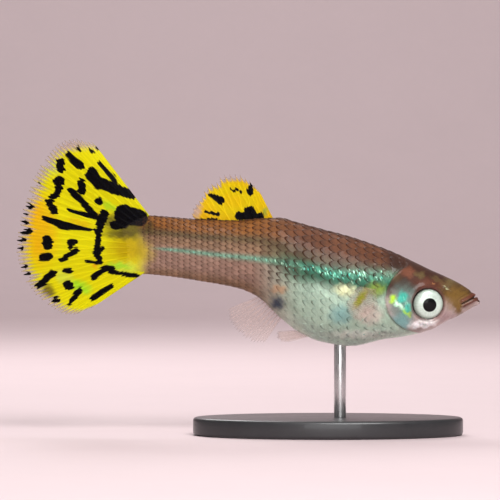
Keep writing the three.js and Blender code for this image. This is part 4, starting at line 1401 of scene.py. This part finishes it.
def make_fin(name, fin, side):
    """A closed thin sheet: the columns run across one face and back across the other."""
    count, rows = fin["rays"] * fin["samples"], fin["rows"]
    columns = 2 * count + 3
    piece, column, row = numbered_grid(name, columns, rows)
    column = np.where(column == columns - 1, 0, column)
    face = np.where(column <= count, 1.0, -1.0)
    share = np.where(column <= count, column, 2 * count + 1 - column) / count
    along = row / (rows - 1)
    across = share * fin["rays"]
    rng = np.random.default_rng(fin["seed"])
    root, reach, length = fin_reach(fin, share, across, rng)
    run = ROOT_SINK + (1 - ROOT_SINK) * along
    place = root + reach * (run * length)[:, None]
    ripple = fin["ripple"] * np.maximum(run, 0) * np.sin(share * fin["waves"] * 2 * math.pi)
    ray = ray_profile(across, along, fin["forks"])
    late = along**0.55
    half = FIN_ROOT_HALF + (FIN_LATE_HALF - FIN_ROOT_HALF) * late
    half += (RAY_ROOT_RISE + (RAY_LATE_RISE - RAY_ROOT_RISE) * late) * ray
    half = np.where((row == 0) | (row == rows - 1), 0.0, half)
    half = half * smooth_step(0, FIN_SIDE_TAPER, np.minimum(share, 1 - share)) ** 0.5
    lie = place + fin_normal(fin) * (ripple + face * half)[:, None]
    if side == RIGHT:
        lie[:, 2] *= -1
    set_places(piece, in_frame(lie))
    colours = patched(paint(fin["ground"]), place, fin["patches"])
    colours = mixed(colours, paint("smoke"), 0.8 * smooth_step(*SMOKE_SPAN, along))
    strand = (across * 2 ** fin["forks"] * 1.5).astype(int)
    slip = (rng.random(strand.max() + 1)[strand] - 0.5) * STRAND_SLIP * along
    run_out = reach / np.linalg.norm(reach, axis=-1, keepdims=True)
    set_values(
        piece, colours, ray=ray, along=along, across=across,
        mark=mark_depth(place + run_out * slip[:, None], fin["marks"]),
        faded=mark_depth(place, fin["faded"]),
        near_root=smooth_step(*NEAR_ROOT_SPAN, along),
        dense=patch_mask(place, fin["patches"]),
        clear=smooth_step(*CLEAR_SPAN, along) * (1 - 0.35 * ray),
    )
    closed_up(piece)
    return piece


class GUPPY_OT_spotted_fins(bpy.types.Operator):
    """Tail fin and dorsal fin: yellow, with black spots and streaks"""

    bl_idname = "guppy.spotted_fins"
    bl_label = "Spotted fins"

    def execute(self, context):
        material = spotted_fin_material()
        dressed(make_fin("tail_membrane", TAIL_FIN, LEFT), material, ("tail_fin",))
        dressed(make_fin("dorsal_membrane", DORSAL_FIN, LEFT), material, ("dorsal_fin",))
        return {"FINISHED"}


class GUPPY_OT_clear_fins(bpy.types.Operator):
    """Anal fin, pectoral fins and pelvic fins: thin and clear"""

    bl_idname = "guppy.clear_fins"
    bl_label = "Clear fins"

    def execute(self, context):
        material = clear_fin_material()
        dressed(make_fin("anal_membrane", ANAL_FIN, LEFT), material, ("anal_fin",))
        for side, word in SIDE_NAMES.items():
            for kind, fin in (("pectoral", PECTORAL_FIN), ("pelvic", PELVIC_FIN)):
                piece = make_fin(f"{kind}_membrane_{word}", fin, side)
                dressed(piece, material, (f"{kind}_fin_{word}",))
        return {"FINISHED"}


def upright(name, x, foot, size, vertices, edge):
    """A standing cylinder of a length, width and height, with its edges rounded off."""
    length, width, height = (v * MM for v in size)
    deselected()
    bpy.ops.mesh.primitive_cylinder_add(vertices=vertices, radius=0.5, depth=height,
                                        location=(x * MM, 0, foot * MM + height / 2))
    piece = bpy.context.object
    piece.name = name
    piece.scale = (length, width, 1.0)
    bpy.ops.object.transform_apply(location=True, rotation=True, scale=True)
    bevel = piece.modifiers.new("edge", "BEVEL")
    bevel.width = edge["width"] * MM
    bevel.segments = edge["segments"]
    bevel.angle_limit = BEVEL_ANGLE
    bpy.ops.object.modifier_apply(modifier=bevel.name)
    bpy.ops.object.shade_smooth_by_angle(angle=SMOOTH_ANGLE)
    piece.data.uv_layers[0].name = "OFBake"
    return piece


class GUPPY_OT_stand(bpy.types.Operator):
    """A flat oval base and one short steel rod up to the belly"""

    bl_idname = "guppy.stand"
    bl_label = "Stand"

    def execute(self, context):
        base = upright("stand_foot", BASE_MIDDLE_X, 0.0, BASE_SIZE, 160, BASE_EDGE)
        dressed(base, stand_base_material(context.scene.guppy.base_colour), ("stand_base",))
        belly = SNOUT_Z + float(section_at(np.array([SNOUT_X - ROD_X]))[1][0])
        foot = BASE_SIZE[2] - ROD_SUNK
        size = (2 * ROD_RADIUS, 2 * ROD_RADIUS, belly + ROD_IN_BELLY - foot)
        rod = upright("stand_pin", ROD_X, foot, size, 48, ROD_EDGE)
        dressed(rod, stand_rod_material(), ("stand_rod",))
        return {"FINISHED"}


def area_light(name, energy, size, place, target):
    light = bpy.data.lights.new(name, "AREA")
    light.energy = energy
    light.size = size * MM
    lamp = bpy.data.objects.new(name, light)
    bpy.context.collection.objects.link(lamp)
    lamp.location = [v * MM for v in place]
    aim = Vector(target) - Vector(place)
    lamp.rotation_euler = aim.to_track_quat("-Z", "Y").to_euler()
    return lamp


class GUPPY_OT_stage(bpy.types.Operator):
    """Pale sweep, soft studio light and the camera"""

    bl_idname = "guppy.stage"
    bl_label = "Stage"

    def execute(self, context):
        settings = context.scene.guppy
        profile = [(back, 0.0) for back in SWEEP_FLOOR]
        for a in np.linspace(0, math.pi / 2, SWEEP_STEPS)[1:]:
            profile.append((SWEEP_FLOOR[-1] + SWEEP_BEND * math.sin(a), SWEEP_BEND * (1 - math.cos(a))))
        profile += [(profile[-1][0], SWEEP_BEND + height) for height in SWEEP_WALL]
        profile = np.array(profile)
        sweep, column, row = numbered_grid("pale_sweep", SWEEP_COLUMNS, len(profile))
        across = (column / (SWEEP_COLUMNS - 1) - 0.5) * SWEEP_WIDTH
        set_places(sweep, np.stack([across, profile[row, 0], profile[row, 1]], axis=-1) * MM)
        bpy.ops.object.shade_smooth()
        sweep.data.materials.append(floor_material(settings.floor_colour))
        for light in LIGHTS:
            area_light(*light)
        world = bpy.data.worlds.new("studio")
        world.use_nodes = True
        world.node_tree.nodes["Background"].inputs["Color"].default_value = WORLD_COLOUR
        world.node_tree.nodes["Background"].inputs["Strength"].default_value = WORLD_STRENGTH
        context.scene.world = world
        context.scene.view_settings.view_transform = "Standard"
        data = bpy.data.cameras.new("camera")
        data.lens = settings.lens
        data.sensor_width = SENSOR_WIDTH
        data.clip_start = CLIP_START
        data.clip_end = CLIP_END
        camera = bpy.data.objects.new("camera", data)
        context.collection.objects.link(camera)
        distance = PHOTO_WIDTH_MM / SENSOR_WIDTH * data.lens
        camera.location = (VIEW_MIDDLE[0] * MM, -distance * MM, VIEW_MIDDLE[1] * MM)
        camera.rotation_euler = (math.pi / 2, 0, 0)
        context.scene.camera = camera
        return {"FINISHED"}


class GUPPY_PT_panel(bpy.types.Panel):
    bl_label = "Fancy guppy"
    bl_idname = "GUPPY_PT_panel"
    bl_space_type = "VIEW_3D"
    bl_region_type = "UI"
    bl_category = "Guppy"

    def draw(self, context):
        settings = context.scene.guppy
        for name in settings.bl_rna.properties.keys():
            if name not in ("rna_type", "name"):
                self.layout.prop(settings, name)
        for piece in PIECES:
            self.layout.operator(piece.bl_idname)


PIECES = (
    GUPPY_OT_skin,
    GUPPY_OT_scales,
    GUPPY_OT_eyes,
    GUPPY_OT_spotted_fins,
    GUPPY_OT_clear_fins,
    GUPPY_OT_stand,
    GUPPY_OT_stage,
)
CLASSES = (GuppySettings, *PIECES, GUPPY_PT_panel)


def register():
    for each in CLASSES:
        bpy.utils.register_class(each)
    bpy.types.Scene.guppy = bpy.props.PointerProperty(type=GuppySettings)


def unregister():
    del bpy.types.Scene.guppy
    for each in reversed(CLASSES):
        bpy.utils.unregister_class(each)


def main():
    register()
    bpy.ops.guppy.skin()
    bpy.ops.guppy.scales()
    bpy.ops.guppy.eyes()
    bpy.ops.guppy.spotted_fins()
    bpy.ops.guppy.clear_fins()
    bpy.ops.guppy.stand()
    bpy.ops.guppy.stage()


if __name__ == "__main__":
    main()
